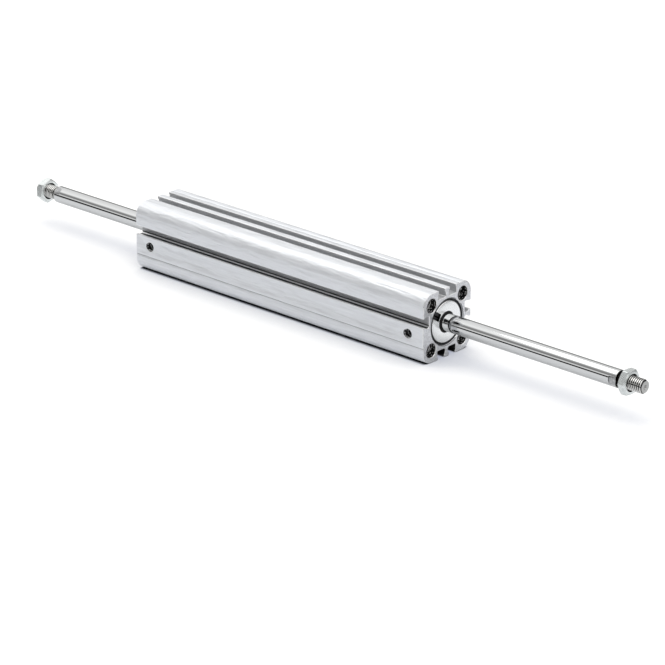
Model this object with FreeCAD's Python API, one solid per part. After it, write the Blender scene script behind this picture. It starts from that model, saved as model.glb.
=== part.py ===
import FreeCAD, Part
import os
from math import cos, radians, sin, sqrt, tan

# Compact pneumatic cylinder with a through rod, 25 mm bore, in millimetres.
# Frame: X runs along the rod, Z is up, the origin is the centre of the barrel's underside.
# Each piece is built round the rod axis first, and lifted by AXIS_HEIGHT when it is written.
# Depths are measured inwards from a barrel end face, and stations along X from the piston's middle.

# Cylinder
STROKE = 175.0
REST_OFFSET = 17.0          # the piston stands this far to the right of mid-stroke
BORE = 25.0
STEP_BELOW_AXIS = 10.1      # shallow step in the front face
STEP_DEPTH = 0.3
END_CHAMFER = 0.25
LIP_RADIUS = 0.25           # rounded edges of the slots' mouths

# Fixing holes, M6, with a counterbore at each end
FIXING_CORE = 5.1
FIXING_COUNTERBORE = 8.2
COUNTERBORE_DEPTH = 4.5
GROOVE_WALL = 0.6           # metal between a counterbore and the circlip groove
PITCH_DECIMALS = 1          # the hole pitch is rounded to a tenth
EDGE_WALL = 2.9             # metal between a counterbore and the barrel's outside

# Sensor slots, in pairs each side of a rib with a wide head
RIB_HEAD = 4.2
RIB_WAIST = 2.2
RIB_FOOT = 3.0
SLOT_LIP = 1.2
SLOT_UNDERCUT = 0.5
SLOT_WALL = 2.5             # metal between a slot's floor and the bore
SLOT_SIDE_WALL = 1.3        # metal between a slot's side and a counterbore
LIP_BEVEL = 0.4

# Air ports, M5
PORT_CORE = 4.2
PORT_MOUTH = 5.6
PORT_FROM_LAND = 0.3        # from the cap's sealing land to the port
PORT_BELOW_AXIS = 3.8

# Rod, two halves screwed together through the piston
ROD = 10.0
ROD_OUT = 13.5              # rod shoulder beyond the end face at the end of its stroke
ROD_CHAMFER = 0.5
FLAT_LENGTH = 4.5
FLAT_DEPTH = 0.5            # cut into the rod, each side
RIGHT_FLAT_TURN = 0.0       # degrees about the rod, from facing front and back
LEFT_FLAT_TURN = -50.0
THREAD = 8.0
THREAD_LENGTH = 16.0
THREAD_CHAMFER = 0.7
NECK_DEPTH = 0.8            # below the thread's crest
NECK_LENGTH = 1.6
CENTRE_DRILL = 2.5
CENTRE_ANGLE = 60.0
STUD = 6.0
STUD_GRIP = 12.0            # stud length inside the left rod
STUD_END_GAP = 1.0

# Jam nuts, M8
NUT_ACROSS = 13.0
NUT_CORNER_LOSS = 0.3       # radius lost where the corners are rounded
NUT_FACE_SHARE = 0.95       # round flat left by the chamfer, as a share of the width
NUT_CHAMFER_ANGLE = 30.0
NUT_THICKNESS = 4.5
NUT_SINK = 0.4              # depth of the countersinks
RIGHT_NUT_GAP = 3.0         # from the rod's shoulder to the nut
LEFT_NUT_GAP = 8.1
RIGHT_NUT_TURN = -3.0
LEFT_NUT_TURN = 18.5

# Bearing cap
CAP_LENGTH = 13.0
CAP_RECESS = 0.3            # nose below the barrel's end face
NOSE_LENGTH = 2.0
NOSE_STEP = 0.7             # the nose's radius below the bore's
FLANGE_STEP = 0.75          # the flange's radius above the bore's
FLANGE_THICKNESS = 2.3
SPIGOT_WALL = 0.8           # metal outside the buffer
SPIGOT_FROM_FLANGE = 4.0    # length of the sealing land
MOUTH_CLEARANCE = 0.05
LAND_CLEARANCE = 0.05

# Circlip that holds the cap
CIRCLIP_THICKNESS = 1.2
CIRCLIP_WIDTH = 1.2
GROOVE_DEPTH = 0.4
GROOVE_SLACK = 0.1
CIRCLIP_GAP = 0.8
LUG_WIDTH = 1.5
LUG_FROM_WIPER = 1.2        # from the wiper to the tips of the lugs
LUG_HOLE = 0.8
LUG_ANGLE = 147.0           # from +Y towards +Z
LUG_SLACK = 0.3

# Seals, bushes and buffers in the cap
CAP_RING_SECTION = 1.5
CAP_RING_FROM_FLANGE = 2.0  # middle of the O-ring groove, from the flange
WIPER_SECTION = 1.0
WIPER_LENGTH = 2.2
WIPER_LIP = 0.6
ROD_SEAL_SECTION = 2.0
ROD_SEAL_LENGTH = 2.4
ROD_SEAL_WALL = 0.8         # metal between wiper and rod seal
BUSH_THICKNESS = 1.0
BUSH_INSET = 0.5            # from the cap's inner end to the bush
BUSH_WALL = 0.8             # metal between rod seal and bush
BUFFER_WALL = 1.2           # metal between bush and buffer
BUFFER_WIDTH = 2.0
BUFFER_SEAT = 1.4           # depth of its groove in the cap
BUFFER_PROUD = 1.0

# Piston
PISTON_LENGTH = 14.0
PISTON_CLEARANCE = 0.3
MAGNET_THICKNESS = 3.1
MAGNET_COVER = 0.4          # from the magnet to the guide ring
MAGNET_LENGTH = 3.0
GUIDE_THICKNESS = 1.4
GUIDE_LENGTH = 4.2
GUIDE_SPLIT = 1.0
PISTON_SEAL_HEIGHT = 2.5
PISTON_SEAL_LENGTH = 2.4
PISTON_SEAL_INSET = 1.4     # from the piston's face to the seal's groove
STUD_RING_SECTION = 1.4

# Clearances
RUNNING = 0.03              # rod in bush and seals
BORE_RUNNING = 0.05         # seals and guide ring in the bore
SEAT_GAP = 0.05             # a ring in its groove
THREAD_GAP = 0.03
LIP_GAP = 0.5               # open end of a lip seal, half its width
LIP_SHARE = 0.5             # depth of the seal's opening, as a share of its length

# Worked out from the sizes above
FLANGE = BORE + 2 * FLANGE_STEP
MOUTH = FLANGE + 2 * MOUTH_CLEARANCE
CIRCLIP_GROOVE = MOUTH + 2 * GROOVE_DEPTH
NOSE = BORE - 2 * NOSE_STEP
HOLE_PITCH = round(
    sqrt(2) * (CIRCLIP_GROOVE / 2 + GROOVE_WALL + FIXING_COUNTERBORE / 2), PITCH_DECIMALS)
HOLE_OFFSET = HOLE_PITCH / 2
CORNER_RADIUS = FIXING_COUNTERBORE / 2 + EDGE_WALL
HALF_PROFILE = HOLE_OFFSET + CORNER_RADIUS
AXIS_HEIGHT = HALF_PROFILE
SLOT_DEPTH = HALF_PROFILE - BORE / 2 - SLOT_WALL
SLOT_SIDE = HOLE_OFFSET - FIXING_COUNTERBORE / 2 - SLOT_SIDE_WALL
STOP_DEPTH = CAP_LENGTH + BUFFER_PROUD
BODY_LENGTH = STROKE + PISTON_LENGTH + 2 * STOP_DEPTH
HALF_BODY = BODY_LENGTH / 2
HALF_PISTON = PISTON_LENGTH / 2
HALF_STROKE = STROKE / 2
FLANGE_DEPTH = CAP_RECESS + NOSE_LENGTH
SEAT_DEPTH = FLANGE_DEPTH + FLANGE_THICKNESS
LAND_END = SEAT_DEPTH + SPIGOT_FROM_FLANGE
PORT_FROM_END = LAND_END + PORT_FROM_LAND + PORT_CORE / 2
SHOULDER = HALF_BODY + HALF_STROKE + ROD_OUT
WIPER = ROD + 2 * WIPER_SECTION
ROD_SEAL = ROD + 2 * ROD_SEAL_SECTION
BUSH = ROD + 2 * BUSH_THICKNESS
BUFFER_INSIDE = BUSH + 2 * BUFFER_WALL
BUFFER_OUTSIDE = BUFFER_INSIDE + 2 * BUFFER_WIDTH
SPIGOT = BUFFER_OUTSIDE + 2 * SPIGOT_WALL
FLAT_ACROSS = ROD - 2 * FLAT_DEPTH
NECK = THREAD - 2 * NECK_DEPTH
GUIDE_INSIDE = BORE - 2 * (BORE_RUNNING + GUIDE_THICKNESS)
MAGNET = GUIDE_INSIDE - 2 * MAGNET_COVER
HUB = MAGNET - 2 * (MAGNET_THICKNESS + SEAT_GAP)
BEYOND = 1.0                # a cutting tool reaches this far past the face that it cuts
TINY = 1e-6

ORIGIN = FreeCAD.Vector(0, 0, 0)
ALONG = FreeCAD.Vector(1, 0, 0)


def rod(radius, start, end, y=0.0, z=0.0):
    """A cylinder along X."""
    return Part.makeCylinder(radius, end - start, FreeCAD.Vector(start, y, z), ALONG)


def block(low, high):
    """A box between two corners."""
    size = [b - a for a, b in zip(low, high)]
    return Part.makeBox(*size, FreeCAD.Vector(*low))


def turned(profile):
    """A solid turned about the rod axis from (x, radius) points."""
    points = [FreeCAD.Vector(x, 0, r) for x, r in profile]
    face = Part.Face(Part.makePolygon(points + points[:1]))
    solid = face.revolve(ORIGIN, ALONG, 360)
    if solid.Volume < 0:
        solid.reverse()
    return solid


def tube(outer, inner, start, end):
    """A ring of plain rectangular section, from its diameters."""
    return turned([(start, inner / 2), (start, outer / 2), (end, outer / 2), (end, inner / 2)])


def o_ring(middle_radius, section, x):
    """A round-section ring about the rod axis."""
    return Part.makeTorus(middle_radius, section / 2, FreeCAD.Vector(x, 0, 0), ALONG)


def about_rod(shape, degrees):
    """A copy of the shape, turned about the rod axis."""
    turned_copy = shape.copy()
    turned_copy.rotate(ORIGIN, ALONG, degrees)
    return turned_copy


def mirrored(shape):
    """The left end's copy of a right end's piece."""
    return shape.mirror(ORIGIN, ALONG)


def moved(shape, x):
    """A copy of the shape, moved along the rod axis."""
    copy = shape.copy()
    copy.translate(FreeCAD.Vector(x, 0, 0))
    return copy


def depth(value):
    """X of a depth below the right end face."""
    return HALF_BODY - value


def slot_tool(face, side):
    """The cutter of one sensor slot: which face it is in, and its side of the face's middle."""
    head, waist, foot = RIB_HEAD / 2, RIB_WAIST / 2, RIB_FOOT / 2
    inside = SLOT_SIDE
    mouth = inside - SLOT_UNDERCUT
    placed = {
        "top": lambda u, w: FreeCAD.Vector(0, u, HALF_PROFILE - w),
        "bottom": lambda u, w: FreeCAD.Vector(0, u, w - HALF_PROFILE),
        "back": lambda u, w: FreeCAD.Vector(0, HALF_PROFILE - w, u),
        "front": lambda u, w: FreeCAD.Vector(0, w - HALF_PROFILE, u),
    }[face]

    def at(across, deep):
        return placed(side * across, deep)

    lower_lip = SLOT_LIP + LIP_BEVEL
    middle = (SLOT_LIP + SLOT_DEPTH) / 2
    corners = [
        at(foot, SLOT_DEPTH),
        at(inside, SLOT_DEPTH),
        at(inside, lower_lip),
        at(mouth, SLOT_LIP),
        at(mouth, -BEYOND),
        at(head, -BEYOND),
        at(head, SLOT_LIP),
    ]
    edges = [Part.makeLine(a, b) for a, b in zip(corners, corners[1:])]
    edges.append(Part.Arc(corners[-1], at(waist, middle), corners[0]).toShape())
    prism = Part.Face(Part.Wire(edges)).extrude(ALONG * (BODY_LENGTH + 2 * BEYOND))
    prism.translate(FreeCAD.Vector(-HALF_BODY - BEYOND, 0, 0))
    return prism


def port_tool(x):
    """The cutter of one air port: an M5 core from the front face to the bore, with a chamfered mouth."""
    mouth_depth = (PORT_MOUTH - PORT_CORE) / 2
    outside = FreeCAD.Vector(x, -HALF_PROFILE - BEYOND, -PORT_BELOW_AXIS)
    inwards = FreeCAD.Vector(0, 1, 0)
    core = Part.makeCylinder(PORT_CORE / 2, HALF_PROFILE + BEYOND - BORE / 4, outside, inwards)
    mouth = Part.makeCone(
        PORT_MOUTH / 2 + BEYOND, PORT_CORE / 2, mouth_depth + BEYOND, outside, inwards)
    return core.fuse(mouth)


def extrusion():
    """The barrel's outside: rounded corners, step, chamfered ends and sensor slots."""
    bar = block((-HALF_BODY, -HALF_PROFILE, -HALF_PROFILE), (HALF_BODY, HALF_PROFILE, HALF_PROFILE))
    along = [e for e in bar.Edges if abs(e.tangentAt(e.FirstParameter).x) > 0.9]
    bar = bar.makeFillet(CORNER_RADIUS, along)
    step = block(
        (-HALF_BODY - BEYOND, -HALF_PROFILE - BEYOND, -HALF_PROFILE - BEYOND),
        (HALF_BODY + BEYOND, -HALF_PROFILE + STEP_DEPTH, -STEP_BELOW_AXIS))
    bar = bar.cut(step)
    ends = [e for e in bar.Edges if abs(abs(e.CenterOfMass.x) - HALF_BODY) < TINY]
    bar = bar.makeChamfer(END_CHAMFER, ends)
    slots = [slot_tool(face, side) for face in ("top", "bottom", "back") for side in (-1, 1)]
    bar = bar.cut(slots + [slot_tool("front", 1)])
    return bar.makeFillet(LIP_RADIUS, [e for e in bar.Edges if is_slot_lip(e)])


def is_slot_lip(edge):
    """Whether an edge is where a sensor slot's side meets the barrel's outside."""
    middle = edge.CenterOfMass
    if abs(middle.x) > TINY:
        return False
    across, outwards = sorted((abs(middle.y), abs(middle.z)))
    on_lip = abs(across - RIB_HEAD / 2) < TINY or abs(across - SLOT_SIDE + SLOT_UNDERCUT) < TINY
    return on_lip and abs(outwards - HALF_PROFILE) < TINY


def barrel():
    """The extruded barrel, bored through, slotted, and machined at both ends."""
    tools = [rod(BORE / 2, -HALF_BODY - BEYOND, HALF_BODY + BEYOND)]
    for y in (-HOLE_OFFSET, HOLE_OFFSET):
        for z in (-HOLE_OFFSET, HOLE_OFFSET):
            core = rod(FIXING_CORE / 2, -HALF_BODY - BEYOND, HALF_BODY + BEYOND, y, z)
            sink = rod(FIXING_COUNTERBORE / 2, depth(COUNTERBORE_DEPTH), HALF_BODY + BEYOND, y, z)
            tools += [core, sink, mirrored(sink)]
    mouth = rod(MOUTH / 2, depth(SEAT_DEPTH), HALF_BODY + BEYOND)
    groove = rod(CIRCLIP_GROOVE / 2, depth(FLANGE_DEPTH), depth(circlip_top() - GROOVE_SLACK))
    tools += [mouth, mirrored(mouth), groove, mirrored(groove)]
    port_x = HALF_BODY - PORT_FROM_END
    tools += [port_tool(port_x), port_tool(-port_x)]
    return extrusion().cut(tools)


def lug_tip():
    """Radius that the circlip's lugs reach in to."""
    return WIPER / 2 + LUG_FROM_WIPER


def circlip_top():
    """Depth of the circlip's outer face: it lies on the cap's flange."""
    return FLANGE_DEPTH - CIRCLIP_THICKNESS


def seal_depths():
    """Depths inside the cap: wiper end, rod seal start and end, bush start."""
    wiper_end = CAP_RECESS + WIPER_LENGTH
    seal_start = wiper_end + ROD_SEAL_WALL
    seal_end = seal_start + ROD_SEAL_LENGTH
    return wiper_end, seal_start, seal_end, seal_end + BUSH_WALL


def lug_notch():
    """The pocket in the cap's nose that the circlip's lugs stand in."""
    half_width = CIRCLIP_GAP / 2 + LUG_WIDTH + LUG_SLACK
    inner = lug_tip() - LUG_SLACK
    notch = block(
        (depth(FLANGE_DEPTH), inner, -half_width),
        (HALF_BODY + BEYOND, NOSE / 2 + BEYOND, half_width))
    return about_rod(notch, LUG_ANGLE)


def bearing_cap():
    """The right end cap: nose, flange, sealing land and spigot, with the pockets round the rod."""
    wiper_end, seal_start, seal_end, bush_start = seal_depths()
    ring_middle = SEAT_DEPTH + CAP_RING_FROM_FLANGE
    ring_half = CAP_RING_SECTION / 2 + SEAT_GAP
    ring_floor = BORE / 2 - CAP_RING_SECTION - 2 * SEAT_GAP
    land = BORE / 2 - LAND_CLEARANCE
    rod_hole = ROD / 2 + PISTON_CLEARANCE
    wiper_seat = WIPER / 2 + SEAT_GAP
    seal_seat = ROD_SEAL / 2 + SEAT_GAP
    bush_seat = BUSH / 2
    outline = [
        (CAP_RECESS, wiper_seat),
        (CAP_RECESS, NOSE / 2),
        (FLANGE_DEPTH, NOSE / 2),
        (FLANGE_DEPTH, FLANGE / 2),
        (SEAT_DEPTH, FLANGE / 2),
        (SEAT_DEPTH, land),
        (ring_middle - ring_half, land),
        (ring_middle - ring_half, ring_floor),
        (ring_middle + ring_half, ring_floor),
        (ring_middle + ring_half, land),
        (LAND_END, land),
        (LAND_END, SPIGOT / 2),
        (CAP_LENGTH, SPIGOT / 2),
        (CAP_LENGTH, BUFFER_OUTSIDE / 2 + SEAT_GAP),
        (CAP_LENGTH - BUFFER_SEAT, BUFFER_OUTSIDE / 2 + SEAT_GAP),
        (CAP_LENGTH - BUFFER_SEAT, BUFFER_INSIDE / 2 - SEAT_GAP),
        (CAP_LENGTH, BUFFER_INSIDE / 2 - SEAT_GAP),
        (CAP_LENGTH, bush_seat),
        (bush_start, bush_seat),
        (bush_start, rod_hole),
        (seal_end + SEAT_GAP, rod_hole),
        (seal_end + SEAT_GAP, seal_seat),
        (seal_start - SEAT_GAP, seal_seat),
        (seal_start - SEAT_GAP, rod_hole),
        (wiper_end, rod_hole),
        (wiper_end, wiper_seat),
    ]
    return turned([(depth(d), r) for d, r in outline]).cut(lug_notch())


def cap_o_ring():
    """The O-ring that seals the right cap in the bore."""
    x = depth(SEAT_DEPTH + CAP_RING_FROM_FLANGE)
    return o_ring(BORE / 2 - SEAT_GAP - CAP_RING_SECTION / 2, CAP_RING_SECTION, x)


def circlip():
    """The right internal circlip, open between two drilled lugs."""
    top, bottom = depth(circlip_top()), depth(FLANGE_DEPTH)
    outer = CIRCLIP_GROOVE / 2 - SEAT_GAP
    inner = outer - CIRCLIP_WIDTH
    ring = rod(outer, bottom, top).cut(rod(inner, bottom - BEYOND, top + BEYOND))
    tip = lug_tip()
    lug_side = CIRCLIP_GAP / 2 + LUG_WIDTH
    lugs = block((bottom, tip, -lug_side), (top, inner + CIRCLIP_WIDTH / 2, lug_side))
    gap = block(
        (bottom - BEYOND, tip - BEYOND, -CIRCLIP_GAP / 2),
        (top + BEYOND, outer + BEYOND, CIRCLIP_GAP / 2))
    hole_y = tip + LUG_WIDTH / 2
    hole_z = (CIRCLIP_GAP + LUG_WIDTH) / 2
    holes = [rod(LUG_HOLE / 2, bottom - BEYOND, top + BEYOND, hole_y, z) for z in (-hole_z, hole_z)]
    return about_rod(ring.fuse(lugs).removeSplitter().cut([gap] + holes), LUG_ANGLE)


def rod_wiper():
    """The right wiper ring, with a lip that stands a little out of the cap."""
    wiper_end = seal_depths()[0]
    tip = CAP_RECESS - WIPER_LIP
    inner, outer = ROD / 2 + RUNNING, WIPER / 2
    outline = [
        (wiper_end, inner),
        (wiper_end, outer),
        (CAP_RECESS, outer),
        (tip, (inner + outer) / 2),
        (tip, inner),
    ]
    return turned([(depth(d), r) for d, r in outline])


def lip_seal(inner, outer, closed, opened):
    """A U-section seal from its radii and the X of its closed and open sides."""
    middle = (inner + outer) / 2
    root = opened + (closed - opened) * LIP_SHARE
    return turned([
        (closed, inner),
        (closed, outer),
        (opened, outer),
        (opened, middle + LIP_GAP),
        (root, middle),
        (opened, middle - LIP_GAP),
        (opened, inner),
    ])


def rod_seal():
    """The right rod seal, open towards the pressure."""
    seal_start, seal_end = seal_depths()[1:3]
    return lip_seal(ROD / 2 + RUNNING, ROD_SEAL / 2, depth(seal_start), depth(seal_end))


def rod_bush():
    """The right plain bush that guides the rod, pressed into the cap."""
    bush_start = seal_depths()[3]
    return tube(BUSH, ROD + 2 * RUNNING, depth(CAP_LENGTH - BUSH_INSET), depth(bush_start))


def buffer():
    """The right rubber buffer that the piston stops against."""
    seat = depth(CAP_LENGTH - BUFFER_SEAT)
    return tube(BUFFER_OUTSIDE, BUFFER_INSIDE, depth(STOP_DEPTH) + SEAT_GAP, seat)


def seal_stations():
    """Stations of a piston seal's groove, from the piston's middle."""
    outer = HALF_PISTON - PISTON_SEAL_INSET
    return outer - PISTON_SEAL_LENGTH - 2 * SEAT_GAP, outer


def stud_ring_station():
    """Station of the O-ring that seals the piston on the stud."""
    return (MAGNET_LENGTH / 2 + HALF_PISTON) / 2


def piston_half():
    """The right half of the piston, about the piston's middle."""
    rim = BORE / 2 - PISTON_CLEARANCE
    hole = STUD / 2 + THREAD_GAP
    guide_floor = GUIDE_INSIDE / 2 - SEAT_GAP
    magnet_face = MAGNET_LENGTH / 2 + SEAT_GAP
    guide_face = GUIDE_LENGTH / 2 + SEAT_GAP
    groove_in, groove_out = seal_stations()
    groove_floor = BORE / 2 - BORE_RUNNING - PISTON_SEAL_HEIGHT - SEAT_GAP
    return turned([
        (0, hole),
        (0, HUB / 2),
        (magnet_face, HUB / 2),
        (magnet_face, guide_floor),
        (guide_face, guide_floor),
        (guide_face, rim),
        (groove_in, rim),
        (groove_in, groove_floor),
        (groove_out, groove_floor),
        (groove_out, rim),
        (HALF_PISTON, rim),
        (HALF_PISTON, hole),
    ])


def right_piston_half():
    """The right piston half, with the groove for the stud's O-ring."""
    middle = stud_ring_station()
    half = STUD_RING_SECTION / 2 + SEAT_GAP
    floor = STUD / 2 + 2 * SEAT_GAP + STUD_RING_SECTION
    return piston_half().cut(rod(floor, middle - half, middle + half))


def piston_o_ring():
    """The O-ring between the piston and the stud."""
    middle_radius = STUD / 2 + SEAT_GAP + STUD_RING_SECTION / 2
    return o_ring(middle_radius, STUD_RING_SECTION, stud_ring_station())


def magnet_ring():
    """The magnet that the sensors in the slots detect."""
    half = MAGNET_LENGTH / 2
    return tube(MAGNET, HUB + 2 * SEAT_GAP, -half, half)


def guide_ring():
    """The split ring that guides the piston in the bore."""
    half = GUIDE_LENGTH / 2
    outside = GUIDE_INSIDE + 2 * GUIDE_THICKNESS
    split = block((-half - BEYOND, 0, -GUIDE_SPLIT / 2), (half + BEYOND, BORE, GUIDE_SPLIT / 2))
    return tube(outside, GUIDE_INSIDE, -half, half).cut(split)


def piston_seal():
    """The right piston seal, open towards its own chamber."""
    groove_in, groove_out = seal_stations()
    outer = BORE / 2 - BORE_RUNNING
    inner = outer - PISTON_SEAL_HEIGHT
    return lip_seal(inner, outer, groove_in + SEAT_GAP, groove_out - SEAT_GAP)


def rod_end(flat_turn):
    """A rod with its flats and thread, from the piston's face to its tip on the right."""
    shoulder = SHOULDER
    tip = shoulder + THREAD_LENGTH
    drill_depth = CENTRE_DRILL / 2 / tan(radians(CENTRE_ANGLE / 2))
    bar = turned([
        (HALF_PISTON, 0),
        (HALF_PISTON, ROD / 2),
        (shoulder - ROD_CHAMFER, ROD / 2),
        (shoulder, ROD / 2 - ROD_CHAMFER),
        (shoulder, NECK / 2),
        (shoulder + NECK_LENGTH, NECK / 2),
        (shoulder + NECK_LENGTH + (THREAD - NECK) / 2, THREAD / 2),
        (tip - THREAD_CHAMFER, THREAD / 2),
        (tip, THREAD / 2 - THREAD_CHAMFER),
        (tip, CENTRE_DRILL / 2),
        (tip - drill_depth, 0),
    ])
    flat_start = shoulder - FLAT_LENGTH
    sides = [
        about_rod(
            block((flat_start, FLAT_ACROSS / 2, -ROD), (shoulder + BEYOND / 2, ROD, ROD)),
            flat_turn + half_turn)
        for half_turn in (0, 180)]
    return bar.cut(sides)


def right_rod():
    """The right rod, whose stud passes through the piston."""
    stud_end = -HALF_PISTON - STUD_GRIP + STUD_END_GAP
    stud = rod(STUD / 2, stud_end, HALF_PISTON + BEYOND)
    return rod_end(RIGHT_FLAT_TURN).fuse(stud).removeSplitter()


def left_rod():
    """The left rod, screwed onto the stud."""
    socket = rod(STUD / 2 + THREAD_GAP, -HALF_PISTON - STUD_GRIP, -HALF_PISTON + BEYOND)
    return mirrored(rod_end(LEFT_FLAT_TURN)).cut(socket)


def jam_nut():
    """A chamfered hexagon nut, its inner face at x = 0."""
    corner = NUT_ACROSS / 2 / cos(radians(30))
    points = [
        FreeCAD.Vector(0, corner * cos(radians(60 * i)), corner * sin(radians(60 * i)))
        for i in range(7)]
    hexagon = Part.Face(Part.makePolygon(points)).extrude(ALONG * NUT_THICKNESS)
    face_radius = NUT_ACROSS / 2 * NUT_FACE_SHARE
    rounded = corner - NUT_CORNER_LOSS
    drop = (rounded - face_radius) * tan(radians(NUT_CHAMFER_ANGLE))
    envelope = turned([
        (0, 0),
        (0, face_radius),
        (drop, rounded),
        (NUT_THICKNESS - drop, rounded),
        (NUT_THICKNESS, face_radius),
        (NUT_THICKNESS, 0),
    ])
    hole = THREAD / 2 + THREAD_GAP
    bore = turned([
        (-BEYOND, 0),
        (-BEYOND, hole + NUT_SINK + BEYOND),
        (NUT_SINK, hole),
        (NUT_THICKNESS - NUT_SINK, hole),
        (NUT_THICKNESS + BEYOND, hole + NUT_SINK + BEYOND),
        (NUT_THICKNESS + BEYOND, 0),
    ])
    return hexagon.common(envelope).cut(bore)


def right_jam_nut():
    """The nut on the right rod's thread."""
    return moved(about_rod(jam_nut(), RIGHT_NUT_TURN), SHOULDER + RIGHT_NUT_GAP)


def left_jam_nut():
    """The nut on the left rod's thread."""
    nut = moved(jam_nut(), SHOULDER + LEFT_NUT_GAP)
    return about_rod(mirrored(nut), LEFT_NUT_TURN)


def fixed_pieces():
    """The barrel and everything that its two ends hold, by node."""
    pieces = {"barrel": barrel()}
    end_pieces = {
        "bearing_cap": bearing_cap(),
        "cap_o_ring": cap_o_ring(),
        "circlip": circlip(),
        "rod_wiper": rod_wiper(),
        "rod_seal": rod_seal(),
        "rod_bush": rod_bush(),
        "buffer": buffer(),
    }
    for name, shape in end_pieces.items():
        pieces["right_" + name] = shape
        pieces["left_" + name] = mirrored(shape)
    return pieces


def moving_pieces():
    """The piston, its rings and the rods, about the piston's middle, by node."""
    return {
        "right_piston_half": right_piston_half(),
        "left_piston_half": mirrored(piston_half()),
        "piston_o_ring": piston_o_ring(),
        "magnet_ring": magnet_ring(),
        "guide_ring": guide_ring(),
        "right_piston_seal": piston_seal(),
        "left_piston_seal": mirrored(piston_seal()),
        "right_rod": right_rod(),
        "left_rod": left_rod(),
        "right_jam_nut": right_jam_nut(),
        "left_jam_nut": left_jam_nut(),
    }


os.makedirs("parts", exist_ok=True)
nodes = fixed_pieces()
for name, shape in moving_pieces().items():
    nodes[name] = moved(shape, REST_OFFSET)
for name, shape in nodes.items():
    shape.translate(FreeCAD.Vector(0, 0, AXIS_HEIGHT))
    shape.exportStep("parts/" + name + ".step")
    box = shape.BoundBox
    print(
        f"{name}: solids {len(shape.Solids)}, valid {shape.isValid()}, volume {shape.Volume:.2f}, "
        f"x {box.XMin:.2f} to {box.XMax:.2f}")
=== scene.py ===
"""Looks of a compact pneumatic cylinder with a through rod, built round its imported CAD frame."""

from __future__ import annotations

import logging
import math
from dataclasses import dataclass
from enum import Enum
from typing import Any, Iterable

import bmesh
import bpy
from mathutils import Matrix, Vector

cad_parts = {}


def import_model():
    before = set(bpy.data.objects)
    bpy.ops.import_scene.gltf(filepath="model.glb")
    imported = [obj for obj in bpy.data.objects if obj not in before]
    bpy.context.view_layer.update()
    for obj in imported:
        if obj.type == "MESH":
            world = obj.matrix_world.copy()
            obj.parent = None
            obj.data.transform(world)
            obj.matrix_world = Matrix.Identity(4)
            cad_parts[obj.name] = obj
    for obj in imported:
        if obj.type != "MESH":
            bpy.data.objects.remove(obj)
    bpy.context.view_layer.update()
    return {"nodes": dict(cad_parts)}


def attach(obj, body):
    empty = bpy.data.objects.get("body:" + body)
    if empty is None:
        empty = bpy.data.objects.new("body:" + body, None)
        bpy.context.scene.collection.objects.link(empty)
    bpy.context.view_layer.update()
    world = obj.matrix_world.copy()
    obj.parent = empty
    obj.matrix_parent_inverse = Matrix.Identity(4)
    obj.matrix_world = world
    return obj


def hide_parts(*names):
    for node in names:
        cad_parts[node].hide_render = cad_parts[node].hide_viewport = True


log = logging.getLogger("cylinder")

MM = 0.001
AXIS_HEIGHT = 20.0  # mm, the rod's axis above the floor
SHARP_ANGLE = math.radians(32)  # edges over this angle stay crisp in the shading
TAU = 2 * math.pi
END_FACE = 108.5  # mm, the barrel's end faces from its middle
LUG_TURN = 147.0  # degrees about X, where the circlip's lugs and the cap's notch for them stand
NOISE_LOW, NOISE_HIGH = 0.3, 0.7  # most of a noise's values lie between these
WHITE = (1.0, 1.0, 1.0, 1.0)
BLACK = (0.0, 0.0, 0.0, 1.0)


class Body(Enum):
    """The rigid bodies of the cylinder."""

    BARREL = "barrel_body"
    SEALS = "piston_seals"
    ROD = "rod_body"


class Side(Enum):
    """Which end of the cylinder a piece belongs to, as the sign of its X."""

    RIGHT = 1
    LEFT = -1

    @property
    def label(self) -> str:
        """The first word of the piece's name."""
        return self.name.lower()


def linear(hex_colour: str) -> tuple[float, float, float, float]:
    """Turn an sRGB hex colour into linear RGBA.

    Args:
        hex_colour: Six hex digits with a leading hash.

    Returns:
        Linear red, green, blue and an alpha of 1.
    """
    parts = [int(hex_colour[i:i + 2], 16) / 255 for i in (1, 3, 5)]
    light = [c / 12.92 if c <= 0.04045 else ((c + 0.055) / 1.055) ** 2.4 for c in parts]
    return (light[0], light[1], light[2], 1.0)


def add_node(tree: bpy.types.NodeTree, kind: str, inputs: dict | None = None,
             **settings: Any) -> bpy.types.Node:
    """Add a node with its settings and its inputs.

    Args:
        tree: The shader or geometry tree.
        kind: Blender's type name of the node.
        inputs: Values or output sockets by input name or number.
        **settings: Properties of the node itself.

    Returns:
        The new node.
    """
    made = tree.nodes.new(kind)
    for name, value in settings.items():
        setattr(made, name, value)
    for key, value in (inputs or {}).items():
        if isinstance(value, bpy.types.NodeSocket):
            tree.links.new(value, made.inputs[key])
        else:
            made.inputs[key].default_value = value
    return made


# Finishes


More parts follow.
